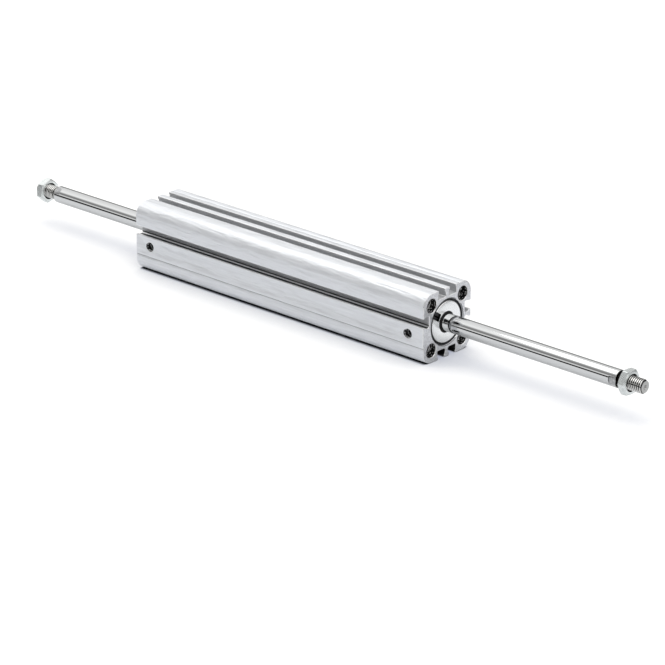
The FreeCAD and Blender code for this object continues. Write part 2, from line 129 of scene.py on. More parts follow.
@dataclass(frozen=True)
class Finish:
    """What every finish has: a colour, how metallic and how rough it is."""

    name: str
    colour: str
    metallic: float = 0.0
    roughness: float = 0.5

    def material(self) -> bpy.types.Material:
        """Make this finish's material, with its pattern.

        Returns:
            The finished material.
        """
        made = bpy.data.materials.new(self.name)
        made.use_nodes = True
        tree = made.node_tree
        shader = tree.nodes["Principled BSDF"]
        shader.inputs["Base Color"].default_value = linear(self.colour)
        shader.inputs["Metallic"].default_value = self.metallic
        shader.inputs["Roughness"].default_value = self.roughness
        made.diffuse_color = linear(self.colour)
        made.metallic = self.metallic
        made.roughness = self.roughness
        self.pattern(tree, shader)
        return made

    def pattern(self, tree: bpy.types.NodeTree, shader: bpy.types.Node) -> None:
        """Add the surface's own detail. The plain finish has none."""

    def place(self, tree: bpy.types.NodeTree, *sizes: float) -> bpy.types.NodeSocket:
        """Object coordinates divided by a real size.

        Args:
            tree: The material's tree.
            *sizes: The pattern's size in mm: one for all axes, or one each for X, Y and Z.

        Returns:
            The coordinates' socket.
        """
        scale = tuple(1 / (size * MM) for size in sizes) * (3 // len(sizes))
        where = add_node(tree, "ShaderNodeTexCoord")
        turn = add_node(tree, "ShaderNodeMapping", {"Vector": where.outputs["Object"], "Scale": scale})
        return turn.outputs["Vector"]

    def from_rod_axis(self, tree: bpy.types.NodeTree) -> bpy.types.NodeSocket:
        """Each point's distance from the rod's axis, in metres.

        Args:
            tree: The material's tree.

        Returns:
            The distance's socket.
        """
        where = add_node(tree, "ShaderNodeTexCoord")
        centred = add_node(tree, "ShaderNodeMapping",
                           {"Vector": where.outputs["Object"], "Location": (0.0, 0.0, -AXIS_HEIGHT * MM)})
        flat = add_node(tree, "ShaderNodeVectorMath", {0: centred.outputs["Vector"], 1: (0.0, 1.0, 1.0)},
                        operation="MULTIPLY")
        far = add_node(tree, "ShaderNodeVectorMath", {0: flat.outputs["Vector"]}, operation="LENGTH")
        return far.outputs["Value"]

    def spread(self, tree: bpy.types.NodeTree, value: bpy.types.NodeSocket,
               low: float, high: float) -> bpy.types.NodeSocket:
        """A 0 to 1 value as a value from low to high.

        Args:
            tree: The material's tree.
            value: The socket to spread.
            low: The result near the bottom of a noise.
            high: The result near its top.

        Returns:
            The spread value's socket.
        """
        ramp = add_node(tree, "ShaderNodeMapRange",
                        {"Value": value, "From Min": NOISE_LOW, "From Max": NOISE_HIGH,
                         "To Min": low, "To Max": high})
        return ramp.outputs["Result"]

    def cut_into(self, tree: bpy.types.NodeTree, shader: bpy.types.Node, pattern: bpy.types.NodeSocket,
                 gloss: tuple[float, float], relief: tuple[float, float]) -> None:
        """Let one pattern drive both the roughness and the relief.

        Args:
            tree: The material's tree.
            shader: Its main shader.
            pattern: The pattern's 0 to 1 value.
            gloss: What the pattern's bottom and top add to the roughness.
            relief: How deep it is in mm, and how strongly it shows.
        """
        rough = self.spread(tree, pattern, self.roughness + gloss[0], self.roughness + gloss[1])
        tree.links.new(rough, shader.inputs["Roughness"])
        bump = add_node(tree, "ShaderNodeBump",
                        {"Height": pattern, "Distance": relief[0] * MM, "Strength": relief[1]})
        tree.links.new(bump.outputs["Normal"], shader.inputs["Normal"])


@dataclass(frozen=True)
class ClearAnodised(Finish):
    """Extruded aluminium, etched and clear anodised: satin, with the die's faint lines along it."""

    line_width: float = 0.35  # mm, spacing of the die lines, drawn coarser than the real 0.1
    line_length: float = 90.0  # mm
    line_depth: float = 0.004  # mm
    streak_width: float = 1.9  # mm, spacing of the broader ripples that the die leaves
    streak_length: float = 14.0  # mm
    streak_depth: float = 0.9  # mm, drawn deeper than the real 0.02 so that it shows
    grain: float = 0.11  # mm, size of the etched grain
    tone: float = 0.07  # share by which the colour varies
    gloss_drift: float = 0.04
    show: float = 0.6  # how strongly the relief shows

    def pattern(self, tree: bpy.types.NodeTree, shader: bpy.types.Node) -> None:
        """Die lines and streaks along the bar, and the fine grain of the etch.

        Args:
            tree: The material's tree.
            shader: Its main shader.
        """
        along = self.place(tree, self.line_length, self.line_width, self.line_width)
        lines = add_node(tree, "ShaderNodeTexNoise", {"Vector": along, "Scale": 1.0, "Detail": 3.0})
        slow = self.place(tree, self.streak_length, self.streak_width, self.streak_width)
        cloud = add_node(tree, "ShaderNodeTexNoise",
                         {"Vector": slow, "Scale": 1.0, "Detail": 2.0, "Distortion": 0.5})
        grain = add_node(tree, "ShaderNodeTexNoise",
                         {"Vector": self.place(tree, self.grain), "Scale": 1.0, "Detail": 1.0})
        both = add_node(tree, "ShaderNodeMath", {0: lines.outputs["Fac"], 1: cloud.outputs["Fac"]},
                        operation="ADD")
        half = add_node(tree, "ShaderNodeMath", {0: both.outputs[0], 1: 0.5}, operation="MULTIPLY")
        base = linear(self.colour)
        low = tuple(c * (1 - self.tone) for c in base[:3]) + (1.0,)
        high = tuple(min(1.0, c * (1 + self.tone)) for c in base[:3]) + (1.0,)
        share = self.spread(tree, half.outputs[0], 0.0, 1.0)
        colour = add_node(tree, "ShaderNodeMix", {"Factor": share, "A": low, "B": high}, data_type="RGBA")
        tree.links.new(colour.outputs["Result"], shader.inputs["Base Color"])
        relief = add_node(tree, "ShaderNodeMath",
                          {0: lines.outputs["Fac"], 1: grain.outputs["Fac"], 2: 0.5},
                          operation="MULTIPLY_ADD")
        self.cut_into(tree, shader, cloud.outputs["Fac"], (-self.gloss_drift, self.gloss_drift),
                      (self.streak_depth, self.show))
        # The fine lines lie on top of the broad ripples.
        waves = shader.inputs["Normal"].links[0].from_socket
        bump = add_node(tree, "ShaderNodeBump",
                        {"Height": relief.outputs[0], "Distance": self.line_depth * MM,
                         "Strength": self.show, "Normal": waves})
        tree.links.new(bump.outputs["Normal"], shader.inputs["Normal"])


@dataclass(frozen=True)
class Turned(Finish):
    """Metal turned on a lathe: fine rings about the rod's axis."""

    feed: float = 0.30  # mm, spacing of the rings, drawn coarser than the real 0.08
    depth: float = 0.002  # mm

    def pattern(self, tree: bpy.types.NodeTree, shader: bpy.types.Node) -> None:
        """Rings that follow the radius, uneven in depth and spacing.

        Args:
            tree: The material's tree.
            shader: Its main shader.
        """
        rings = add_node(tree, "ShaderNodeTexNoise",
                         {"W": self.from_rod_axis(tree), "Scale": 1 / (self.feed * MM), "Detail": 3.0},
                         noise_dimensions="1D")
        self.cut_into(tree, shader, rings.outputs["Fac"], (-0.05, 0.07), (self.depth, 0.7))


@dataclass(frozen=True)
class ToolMarked(Finish):
    """Metal left as a drill or a mill cut it: grooves across one axis, with painted glints on some lands."""

    axis: tuple[float, float, float] = (1.0, 0.0, 0.0)  # what the grooves stand across
    feed: float = 0.6  # mm, spacing of the grooves, drawn coarser than the real 0.15
    depth: float = 0.03  # mm
    # Colour of the painted glints, a painted highlight on the lands.
    glint: str = "#d8d9da"
    land_from: float = 0.30  # level of the pattern over which a land takes the painted glint
    land_to: float = 0.31

    def pattern(self, tree: bpy.types.NodeTree, shader: bpy.types.Node) -> None:
        """Grooves, uneven in spacing, with painted glints on the lands between them.

        Args:
            tree: The material's tree.
            shader: Its main shader.
        """
        where = add_node(tree, "ShaderNodeTexCoord")
        along = add_node(tree, "ShaderNodeVectorMath", {0: where.outputs["Object"], 1: self.axis},
                         operation="DOT_PRODUCT")
        grooves = add_node(tree, "ShaderNodeTexNoise",
                           {"W": along.outputs["Value"], "Scale": 1 / (self.feed * MM), "Detail": 2.0},
                           noise_dimensions="1D")
        chips = add_node(tree, "ShaderNodeTexNoise",
                         {"Vector": self.place(tree, self.feed), "Scale": 1.0, "Detail": 2.0})
        land = add_node(tree, "ShaderNodeMath", {0: grooves.outputs["Fac"], 1: chips.outputs["Fac"]},
                        operation="MULTIPLY")
        share = add_node(tree, "ShaderNodeMapRange",
                         {"Value": land.outputs[0], "From Min": self.land_from, "From Max": self.land_to})
        colour = add_node(tree, "ShaderNodeMix",
                          {"Factor": share.outputs["Result"], "A": linear(self.colour),
                           "B": linear(self.glint)}, data_type="RGBA")
        tree.links.new(colour.outputs["Result"], shader.inputs["Base Color"])
        self.cut_into(tree, shader, grooves.outputs["Fac"], (-0.05, 0.1), (self.depth, 0.8))


@dataclass(frozen=True)
class GroundChrome(Finish):
    """Hard chrome on a ground rod: a near mirror, with very fine rings and a trace of handling."""

    ring: float = 0.5  # mm, spacing of the grinding rings, drawn coarser than the real 0.02
    ring_reach: float = 50.0  # mm, how far one ring stays the same round the rod
    ring_depth: float = 0.0003  # mm
    smear_length: float = 1000 / 70  # mm, size of the smears along the rod
    smear_width: float = 6.25  # mm, and round it

    def pattern(self, tree: bpy.types.NodeTree, shader: bpy.types.Node) -> None:
        """Grinding rings along the rod, and slow smears in the roughness.

        Args:
            tree: The material's tree.
            shader: Its main shader.
        """
        along = self.place(tree, self.ring, self.ring_reach, self.ring_reach)
        rings = add_node(tree, "ShaderNodeTexNoise", {"Vector": along, "Scale": 1.0, "Detail": 2.0})
        slow = self.place(tree, self.smear_length, self.smear_width, self.smear_width)
        smear = add_node(tree, "ShaderNodeTexNoise", {"Vector": slow, "Scale": 1.0, "Detail": 4.0})
        rough = self.spread(tree, smear.outputs["Fac"], self.roughness, self.roughness + 0.05)
        tree.links.new(rough, shader.inputs["Roughness"])
        bump = add_node(tree, "ShaderNodeBump",
                        {"Height": rings.outputs["Fac"], "Distance": self.ring_depth * MM, "Strength": 0.5})
        tree.links.new(bump.outputs["Normal"], shader.inputs["Normal"])


@dataclass(frozen=True)
class Plated(Finish):
    """Steel with a thin plating or oxide: satin, its tint drifting slightly from place to place."""

    second_colour: str = "#c9c2a8"
    patch: float = 3.0  # mm, size of the tinted patches
    grain: float = 0.12  # mm, size of the fine pits
    pit_depth: float = 0.004  # mm

    def pattern(self, tree: bpy.types.NodeTree, shader: bpy.types.Node) -> None:
        """Drifting tint, uneven gloss and fine pits.

        Args:
            tree: The material's tree.
            shader: Its main shader.
        """
        patches = add_node(tree, "ShaderNodeTexNoise",
                           {"Vector": self.place(tree, self.patch), "Scale": 1.0, "Detail": 3.0})
        pits = add_node(tree, "ShaderNodeTexNoise",
                        {"Vector": self.place(tree, self.grain), "Scale": 1.0, "Detail": 2.0})
        share = self.spread(tree, patches.outputs["Fac"], 0.0, 1.0)
        colour = add_node(tree, "ShaderNodeMix",
                          {"Factor": share, "A": linear(self.colour), "B": linear(self.second_colour)},
                          data_type="RGBA")
        tree.links.new(colour.outputs["Result"], shader.inputs["Base Color"])
        self.cut_into(tree, shader, pits.outputs["Fac"], (-0.06, 0.08), (self.pit_depth, 0.5))


@dataclass(frozen=True)
class OilAndShadeThread(Plated):
    """Bright steel whose thread roots are darkened, by oil and by painted shade."""

    root: float = 3.45  # mm, radius up to which the roots are dark
    crest: float = 3.80  # mm, radius from which the metal is bright
    # Colour of the roots: oil, and painted shade.
    root_oil_and_shade: str = "#222120"

    def pattern(self, tree: bpy.types.NodeTree, shader: bpy.types.Node) -> None:
        """Darken the colour towards the roots of the thread.

        Args:
            tree: The material's tree.
            shader: Its main shader.
        """
        super().pattern(tree, shader)
        radius = self.from_rod_axis(tree)
        bright = shader.inputs["Base Color"].links[0].from_socket
        high = add_node(tree, "ShaderNodeMapRange",
                        {"Value": radius, "From Min": self.root * MM, "From Max": self.crest * MM})
        colour = add_node(tree, "ShaderNodeMix",
                          {"Factor": high.outputs["Result"], "A": linear(self.root_oil_and_shade), "B": bright},
                          data_type="RGBA")
        tree.links.new(colour.outputs["Result"], shader.inputs["Base Color"])


@dataclass(frozen=True)
class Moulded(Finish):
    """Moulded rubber or plastic: a dull skin with a fine leathery grain."""

    grain: float = 0.25  # mm
    grain_depth: float = 0.01  # mm
    dust: float = 1000 / 350  # mm, size of the dusty patches
    dust_share: float = 0.6

    def pattern(self, tree: bpy.types.NodeTree, shader: bpy.types.Node) -> None:
        """Grain of the mould, and a little dust in the colour.

        Args:
            tree: The material's tree.
            shader: Its main shader.
        """
        grain = add_node(tree, "ShaderNodeTexNoise",
                         {"Vector": self.place(tree, self.grain), "Scale": 1.0, "Detail": 3.0})
        dust = add_node(tree, "ShaderNodeTexNoise",
                        {"Vector": self.place(tree, self.dust), "Scale": 1.0, "Detail": 4.0})
        base = linear(self.colour)
        pale = tuple(min(1.0, c * 1.6 + 0.004) for c in base[:3]) + (1.0,)
        share = self.spread(tree, dust.outputs["Fac"], 0.0, self.dust_share)
        colour = add_node(tree, "ShaderNodeMix", {"Factor": share, "A": base, "B": pale}, data_type="RGBA")
        tree.links.new(colour.outputs["Result"], shader.inputs["Base Color"])
        self.cut_into(tree, shader, grain.outputs["Fac"], (-0.05, 0.1), (self.grain_depth, 0.4))


class Finishes:
    """Every material of the cylinder, made once."""

    def __init__(self) -> None:
        """Make the materials."""
        # Clear anodised extrusion: etched, so it scatters light, and pale grey without a sharp reflection.
        self.anodised = ClearAnodised("clear_anodised_extrusion", "#f1f3f6", 0.55, 0.44).material()
        # Edges broken after the bar is sawn off: bright bare metal, which on the slots' lips, ledges and
        # feet is a painted highlight.
        self.edge = Turned("bright_edge_and_painted_highlight", "#f4f4f4", 1.0, 0.30).material()
        # Sawn end of the bar, anodised over the saw's marks: mottled and greyer.
        self.sawn = Plated(
            "anodised_saw_cut", "#eeeff2", 1.0, 0.36, "#cccdd0", 0.8, 0.25, 0.04).material()
        # Inside of the sensor slots: the same oxide, a little chalkier, its grey drawn darker as painted
        # shade.
        self.slot = ClearAnodised("clear_anodised_slot_painted_shade", "#c2c3c5", 0.45, 0.50).material()
        # Painted shade on the slot walls that little light reaches: the same oxide, drawn dark and glossier.
        self.shade = ClearAnodised("painted_shade_slot_wall", "#57585a", 1.0, 0.42).material()
        # Bore and mouths, cut before anodising: the same grey, finer and glossier.
        self.machined = Turned("anodised_machined_cut", "#c0c1c4", 1.0, 0.22).material()
        # Counterbore walls with the cutter's rings: near black as painted shade, with painted glints on some
        # lands.
        self.counterbore = ToolMarked(
            "cutter_marked_hole_painted_shade", "#0f1011", 0.3, 0.35, (1.0, 0.0, 0.0), 1.1, 0.08, "#ffffff").material()
        # Tapped port: near black as painted shade, with painted glints on some lands.
        self.port = ToolMarked(
            "tapped_port_painted_shade", "#151617", 0.6, 0.36, (0.0, 1.0, 0.0), 0.9, 0.05, "#b9babb").material()
        # Bearing cap, fine turned and anodised: brighter than the barrel.
        self.cap = Turned("fine_turned_cap", "#fcfdfd", 1.0, 0.22, 0.25, 0.002).material()
        # Hard chrome on ground steel: a mirror that is slightly dulled by handling.
        self.chrome = GroundChrome("ground_hard_chrome", "#dadbdb", 1.0, 0.02).material()
        # Turned tip of the rod: bare bright steel.
        self.steel = Turned("bright_turned_steel", "#c8c8c6", 1.0, 0.28, 0.25, 0.004).material()
        # Wrench flats, milled into the steel and left dull.
        self.milled = ToolMarked(
            "milled_wrench_flat", "#adaeaf", 1.0, 0.30, (1.0, 0.0, 0.0), 0.9, 0.01, "#d0d0cf").material()
        # Rolled thread: bright crests, and roots darkened by oil and by painted shade.
        self.thread = OilAndShadeThread(
            "oiled_and_shaded_bright_thread", "#f6f6f4", 1.0, 0.11, "#e8e7e4", 2.5, 0.2, 0.002).material()
        # Painted shade: steel drawn near black in reliefs, countersinks, notches, holes and gaps.
        self.neck = Plated("painted_shade_dark_steel", "#2e2d2b", 1.0, 0.3, "#242322", 2.5, 0.2, 0.002).material()
        # Blue passivated zinc: pale, faintly green and blue.
        self.zinc = Plated("blue_passivated_zinc", "#f8fcfb", 0.78, 0.27, "#eef3f1", 2.5).material()
        # Phosphated and oiled spring steel of the circlip: nearly black.
        self.spring = Plated(
            "phosphated_spring_steel", "#4d4d50", 1.0, 0.34, "#3c3c3e", 2.0, 0.1, 0.006).material()
        # Cast polyurethane of the wiper: black and dull.
        self.wiper = Moulded("wiper_polyurethane", "#050506", 0.0, 0.75).material()
        # Moulded nitrile rubber of seals and O-rings: black with a soft gloss.
        self.seal = Moulded("nitrile_rubber", "#1a1a1b", 0.0, 0.55).material()
        # Softer moulded rubber of the buffers: dark grey and duller.
        self.buffer = Moulded("buffer_rubber", "#26262a", 0.0, 0.6).material()
        # Sintered bronze, sized on a mandrel: brown, even and without a sharp reflection.
        self.bronze = Turned("sintered_bronze", "#b08a57", 1.0, 0.4, 0.2, 0.004).material()
        # Turned aluminium, left bare inside the cylinder: bright rings.
        self.piston = Turned("turned_piston_aluminium", "#cfd0d1", 1.0, 0.28).material()
        # Ferrite powder bonded with plastic: nearly black and fine grained.
        self.magnet = Moulded("bonded_ferrite", "#2b2b2d", 0.0, 0.6, 0.15, 0.006).material()
        # Filled PTFE cut from strip: dark olive grey and waxy.
        self.guide = Moulded("filled_ptfe_strip", "#3d403c", 0.0, 0.5, 0.4, 0.006).material()


# Mesh helpers


def new_object(name: str, mesh: bpy.types.Mesh) -> bpy.types.Object:
    """Put a mesh in the scene as an object at the origin.

    Args:
        name: The object's name.
        mesh: Its mesh.

    Returns:
        The new object.
    """
    made = bpy.data.objects.new(name, mesh)
    bpy.context.scene.collection.objects.link(made)
    return made


def mesh_from(name: str, shape: bmesh.types.BMesh) -> bpy.types.Mesh:
    """Turn a bmesh into a mesh and free it.

    Args:
        name: The mesh's name.
        shape: The bmesh, which can't be used afterwards.

    Returns:
        The new mesh.
    """
    made = bpy.data.meshes.new(name)
    shape.to_mesh(made)
    shape.free()
    return made


def lathe(name: str, profile: Iterable[tuple[float, float]], around: int) -> bpy.types.Object:
    """A closed solid turned about X, in mm, still at the origin.

    Args:
        name: The object's name.
        profile: Points (x, radius) in mm. A first and last radius of 0 closes on the axis, and
            otherwise the last ring joins the first.
        around: How many segments there are around the axis.

    Returns:
        The object, its mesh in mm.
    """
    points = list(profile)
    angles = [TAU * i / around for i in range(around)]
    shape = bmesh.new()
    rings = []
    for x, radius in points:
        if radius == 0:
            rings.append([shape.verts.new((x, 0, 0))])
            continue
        rings.append([shape.verts.new((x, radius * math.sin(a), radius * math.cos(a))) for a in angles])
    pairs = list(zip(rings, rings[1:]))
    if points[0][1] != 0:
        pairs.append((rings[-1], rings[0]))
    for one, other in pairs:
        for i in range(around):
            j = (i + 1) % around
            corners = [one[i % len(one)], one[j % len(one)], other[j % len(other)], other[i % len(other)]]
            kept = [c for k, c in enumerate(corners) if c not in corners[:k]]
            shape.faces.new(kept)
    bmesh.ops.recalc_face_normals(shape, faces=shape.faces)
    return new_object(name, mesh_from(name, shape))


def prism(name: str, corners: list[tuple[float, float]], start: float, end: float) -> bpy.types.Object:
    """A straight bar along X from a closed outline of (y, z) corners, in mm.

    Args:
        name: The object's name.
        corners: The outline.
        start: X of one end.
        end: X of the other end.

    Returns:
        The object, its mesh in mm.
    """
    shape = bmesh.new()
    low = [shape.verts.new((start, y, z)) for y, z in corners]
    high = [shape.verts.new((end, y, z)) for y, z in corners]
    shape.faces.new(low)
    shape.faces.new(high)
    for i in range(len(corners)):
        j = (i + 1) % len(corners)
        shape.faces.new((low[i], low[j], high[j], high[i]))
    bmesh.ops.recalc_face_normals(shape, faces=shape.faces)
    return new_object(name, mesh_from(name, shape))


def bake(piece: bpy.types.Object) -> bpy.types.Object:
    """Turn a piece's modifiers into its mesh, and remove them.

    Args:
        piece: The piece.

    Returns:
        The piece.
    """
    bpy.context.view_layer.update()
    done = bpy.data.meshes.new_from_object(piece.evaluated_get(bpy.context.evaluated_depsgraph_get()))
    old = piece.data
    piece.modifiers.clear()
    piece.data = done
    bpy.data.meshes.remove(old)
    return piece


def join(name: str, pieces: list[bpy.types.Object]) -> bpy.types.Object:
    """Put several pieces' meshes into one new object, and remove the pieces.

    Args:
        name: The new object's name.
        pieces: Objects with the same material, or none.

    Returns:
        The new object.
    """
    shape = bmesh.new()
    for piece in pieces:
        shape.from_mesh(piece.data)
    made = new_object(name, mesh_from(name, shape))
    for material in pieces[0].data.materials:
        made.data.materials.append(material)
    for piece in pieces:
        discard(piece)
    return made


def discard(piece: bpy.types.Object) -> None:
    """Remove a piece and its mesh.

    Args:
        piece: The piece, which can't be used afterwards.
    """
    mesh = piece.data
    bpy.data.objects.remove(piece)
    bpy.data.meshes.remove(mesh)


def carve(piece: bpy.types.Object, tool: bpy.types.Object, how: str = "DIFFERENCE") -> bpy.types.Object:
    """Cut a piece with a tool, which is used up.

    Args:
        piece: What is cut. It keeps its own finish, and cut faces take the tool's.
        tool: The cutting solid.
        how: Blender's name for the operation.

    Returns:
        The piece.
    """
    cut = piece.modifiers.new("cut", "BOOLEAN")
    cut.operation = how
    cut.solver = "EXACT"
    cut.material_mode = "TRANSFER"
    cut.object = tool
    bake(piece)
    discard(tool)
    return piece


def section(name: str, points: list[tuple[float, float]]) -> bpy.types.Object:
    """A flat section across X, with the direction in which each point's chamfer spreads.

    Args:
        name: The object's name.
        points: The closed outline as (y, z) in mm, counter-clockwise seen from +X with Y to the right.

    Returns:
        The section, one face.
    """
    shape = bmesh.new()
    face = shape.faces.new([shape.verts.new((0, y, z)) for y, z in points])
    face.normal_update()
    if face.normal.x < 0:
        face.normal_flip()
    mesh = mesh_from(name, shape)
    outward = mesh.attributes.new("outward", "FLOAT_VECTOR", "POINT")
    count = len(points)
    for i in range(count):
        before, here, after = (Vector(points[j % count]) for j in (i - 1, i, i + 1))
        one = (here - before).normalized()
        other = (after - here).normalized()
        normal = Vector((one.y, -one.x)) + Vector((other.y, -other.x))
        mitre = normal / max(0.5, 1 + one.dot(other))
        outward.data[i].vector = (0.0, mitre.x, mitre.y)
    return new_object(name, mesh)


def to_side(piece: bpy.types.Object, side: Side) -> bpy.types.Object:
    """Mirror a piece made for the right end to its own end.

    Args:
        piece: The piece.
        side: Its end.

    Returns:
        The piece.
    """
    if side is Side.LEFT:
        piece.data.transform(Matrix.Diagonal((-1.0, 1.0, 1.0, 1.0)))
        piece.data.flip_normals()
    return piece


def settle(piece: bpy.types.Object) -> bpy.types.Object:
    """Bring a piece from mm about the rod's axis into the frame, smooth between its edges.

    Args:
        piece: The piece, its mesh in mm.

    Returns:
        The piece, its mesh in metres.
    """
    piece.data.transform(Matrix.Diagonal((MM, MM, MM, 1.0)) @ Matrix.Translation((0, 0, AXIS_HEIGHT)))
    piece.data.shade_smooth()
    piece.data.set_sharp_from_angle(angle=SHARP_ANGLE)
    return piece


def arc(centre: tuple[float, float], radius: float, start: float, end: float,
        steps: int) -> list[tuple[float, float]]:
    """Points of an arc, its ends included.

    Args:
        centre: The arc's middle.
        radius: Its radius.
        start: First angle in degrees.
        end: Last angle in degrees.
        steps: How many straight pieces it has.

    Returns:
        The points in order.
    """
    angles = [math.radians(start + (end - start) * i / steps) for i in range(steps + 1)]
    return [(centre[0] + radius * math.cos(a), centre[1] + radius * math.sin(a)) for a in angles]


def rounded(corners: list[tuple[float, float, float]], steps: int = 4) -> list[tuple[float, float]]:
    """Round the corners of a closed outline.

    Args:
        corners: (y, z, radius). A radius of 0 leaves the corner as it is.
        steps: Straight pieces in each rounding.

    Returns:
        The outline's points.
    """
    points = []
    for i, (y, z, radius) in enumerate(corners):
        here = Vector((y, z))
        if radius == 0:
            points.append((y, z))
            continue
        before = (Vector(corners[i - 1][:2]) - here).normalized()
        after = (Vector(corners[(i + 1) % len(corners)][:2]) - here).normalized()
        half = before.angle(after) / 2
        middle = here + (before + after).normalized() * (radius / math.sin(half))
        first = here + before * (radius / math.tan(half)) - middle
        last = here + after * (radius / math.tan(half)) - middle
        for k in range(steps + 1):
            spoke = first.lerp(last, k / steps).normalized() * radius
            points.append(tuple(middle + spoke))
    return points


# Geometry Nodes trees


class Tree:
    """A Geometry Nodes tree with named inputs, which works on one object and is baked."""

    def __init__(self, name: str, inputs: dict[str, str]) -> None:
        """Start the tree.

        Args:
            name: The tree's name.
            inputs: Socket type by the input's name, beside the geometry.
        """
        self.group = bpy.data.node_groups.new(name, "GeometryNodeTree")
        face = self.group.interface
        face.new_socket(name="Geometry", in_out="INPUT", socket_type="NodeSocketGeometry")
        face.new_socket(name="Geometry", in_out="OUTPUT", socket_type="NodeSocketGeometry")
        self.sockets = {}
        for label, kind in inputs.items():
            made = face.new_socket(name=label, in_out="INPUT", socket_type="NodeSocket" + kind)
            self.sockets[label] = made.identifier
        self.start = self.group.nodes.new("NodeGroupInput")
        self.end = self.group.nodes.new("NodeGroupOutput")

    def value(self, label: str) -> bpy.types.NodeSocket:
        """The socket of a named input."""
        return self.start.outputs[label]

    def add(self, kind: str, inputs: dict | None = None, **settings: Any) -> bpy.types.Node:
        """Add a node to the tree, as add_node does."""
        return add_node(self.group, kind, inputs, **settings)

    def math(self, operation: str, *values: Any) -> bpy.types.NodeSocket:
        """The result of one sum."""
        return self.add("ShaderNodeMath", dict(enumerate(values)), operation=operation).outputs[0]

    def finish(self, geometry: bpy.types.NodeSocket) -> None:
        """End the tree: real geometry, in its finish.

        Args:
            geometry: What the tree has made.
        """
        real = self.add("GeometryNodeRealizeInstances", {"Geometry": geometry})
        dressed = self.add("GeometryNodeSetMaterial",
                           {"Geometry": real.outputs["Geometry"], "Material": self.value("Finish")})
        self.group.links.new(dressed.outputs["Geometry"], self.end.inputs["Geometry"])

    def apply(self, piece: bpy.types.Object, **values: Any) -> bpy.types.Object:
        """Run the tree on a piece.

        Args:
            piece: The object to work on.
            **values: The inputs' values, with a low line for each space.

        Returns:
            The piece, with a plain mesh.
        """
        modifier = piece.modifiers.new(self.group.name, "NODES")
        modifier.node_group = self.group
        for label, value in values.items():
            modifier[self.sockets[label.replace("_", " ")]] = value
        return bake(piece)


class SweepTree(Tree):
    """Draws a flat section out along X into a bar, with both its ends chamfered."""

    def __init__(self) -> None:
        """Build the tree."""
        super().__init__("Draw out section", {"Length": "Float", "Chamfer": "Float", "Finish": "Material"})
        flat = self.start.outputs["Geometry"]
        length, chamfer = self.value("Length"), self.value("Chamfer")
        outward = self.add("GeometryNodeInputNamedAttribute", {"Name": "outward"}, data_type="FLOAT_VECTOR")
        spread = self.add("ShaderNodeVectorMath", {0: outward.outputs["Attribute"], "Scale": chamfer},
                          operation="SCALE")
        pull_in = self.add("ShaderNodeVectorMath", {0: spread.outputs["Vector"], "Scale": -1.0},
                           operation="SCALE")
        straight = self.math("SUBTRACT", length, self.math("MULTIPLY", chamfer, 2.0))
        first = self.add("GeometryNodeSetPosition", {"Geometry": flat, "Offset": pull_in.outputs["Vector"]})
        shape, top = first.outputs["Geometry"], None
        for reach, shift in ((chamfer, spread), (straight, None), (chamfer, pull_in)):
            along = self.add("ShaderNodeCombineXYZ", {"X": reach})
            drawn = self.add("GeometryNodeExtrudeMesh",
                             {"Mesh": shape, "Offset": along.outputs["Vector"], "Offset Scale": 1.0,
                              "Individual": False}, mode="FACES")
            if top is not None:
                self.group.links.new(top, drawn.inputs["Selection"])
            shape, top = drawn.outputs["Mesh"], drawn.outputs["Top"]
            if shift is not None:
                moved = self.add("GeometryNodeSetPosition",
                                 {"Geometry": shape, "Selection": top, "Offset": shift.outputs["Vector"]})
                shape = moved.outputs["Geometry"]
        back = self.add("GeometryNodeFlipFaces", {"Mesh": first.outputs["Geometry"]})
        both = self.add("GeometryNodeJoinGeometry")
        self.group.links.new(shape, both.inputs["Geometry"])
        self.group.links.new(back.outputs["Mesh"], both.inputs["Geometry"])
        closed = self.add("GeometryNodeMergeByDistance",
                          {"Geometry": both.outputs["Geometry"], "Distance": 1e-5})
        half = self.math("MULTIPLY", length, -0.5)
        shift_back = self.add("ShaderNodeCombineXYZ", {"X": half})
        centred = self.add("GeometryNodeSetPosition",
                           {"Geometry": closed.outputs["Geometry"], "Offset": shift_back.outputs["Vector"]})
        self.finish(centred.outputs["Geometry"])


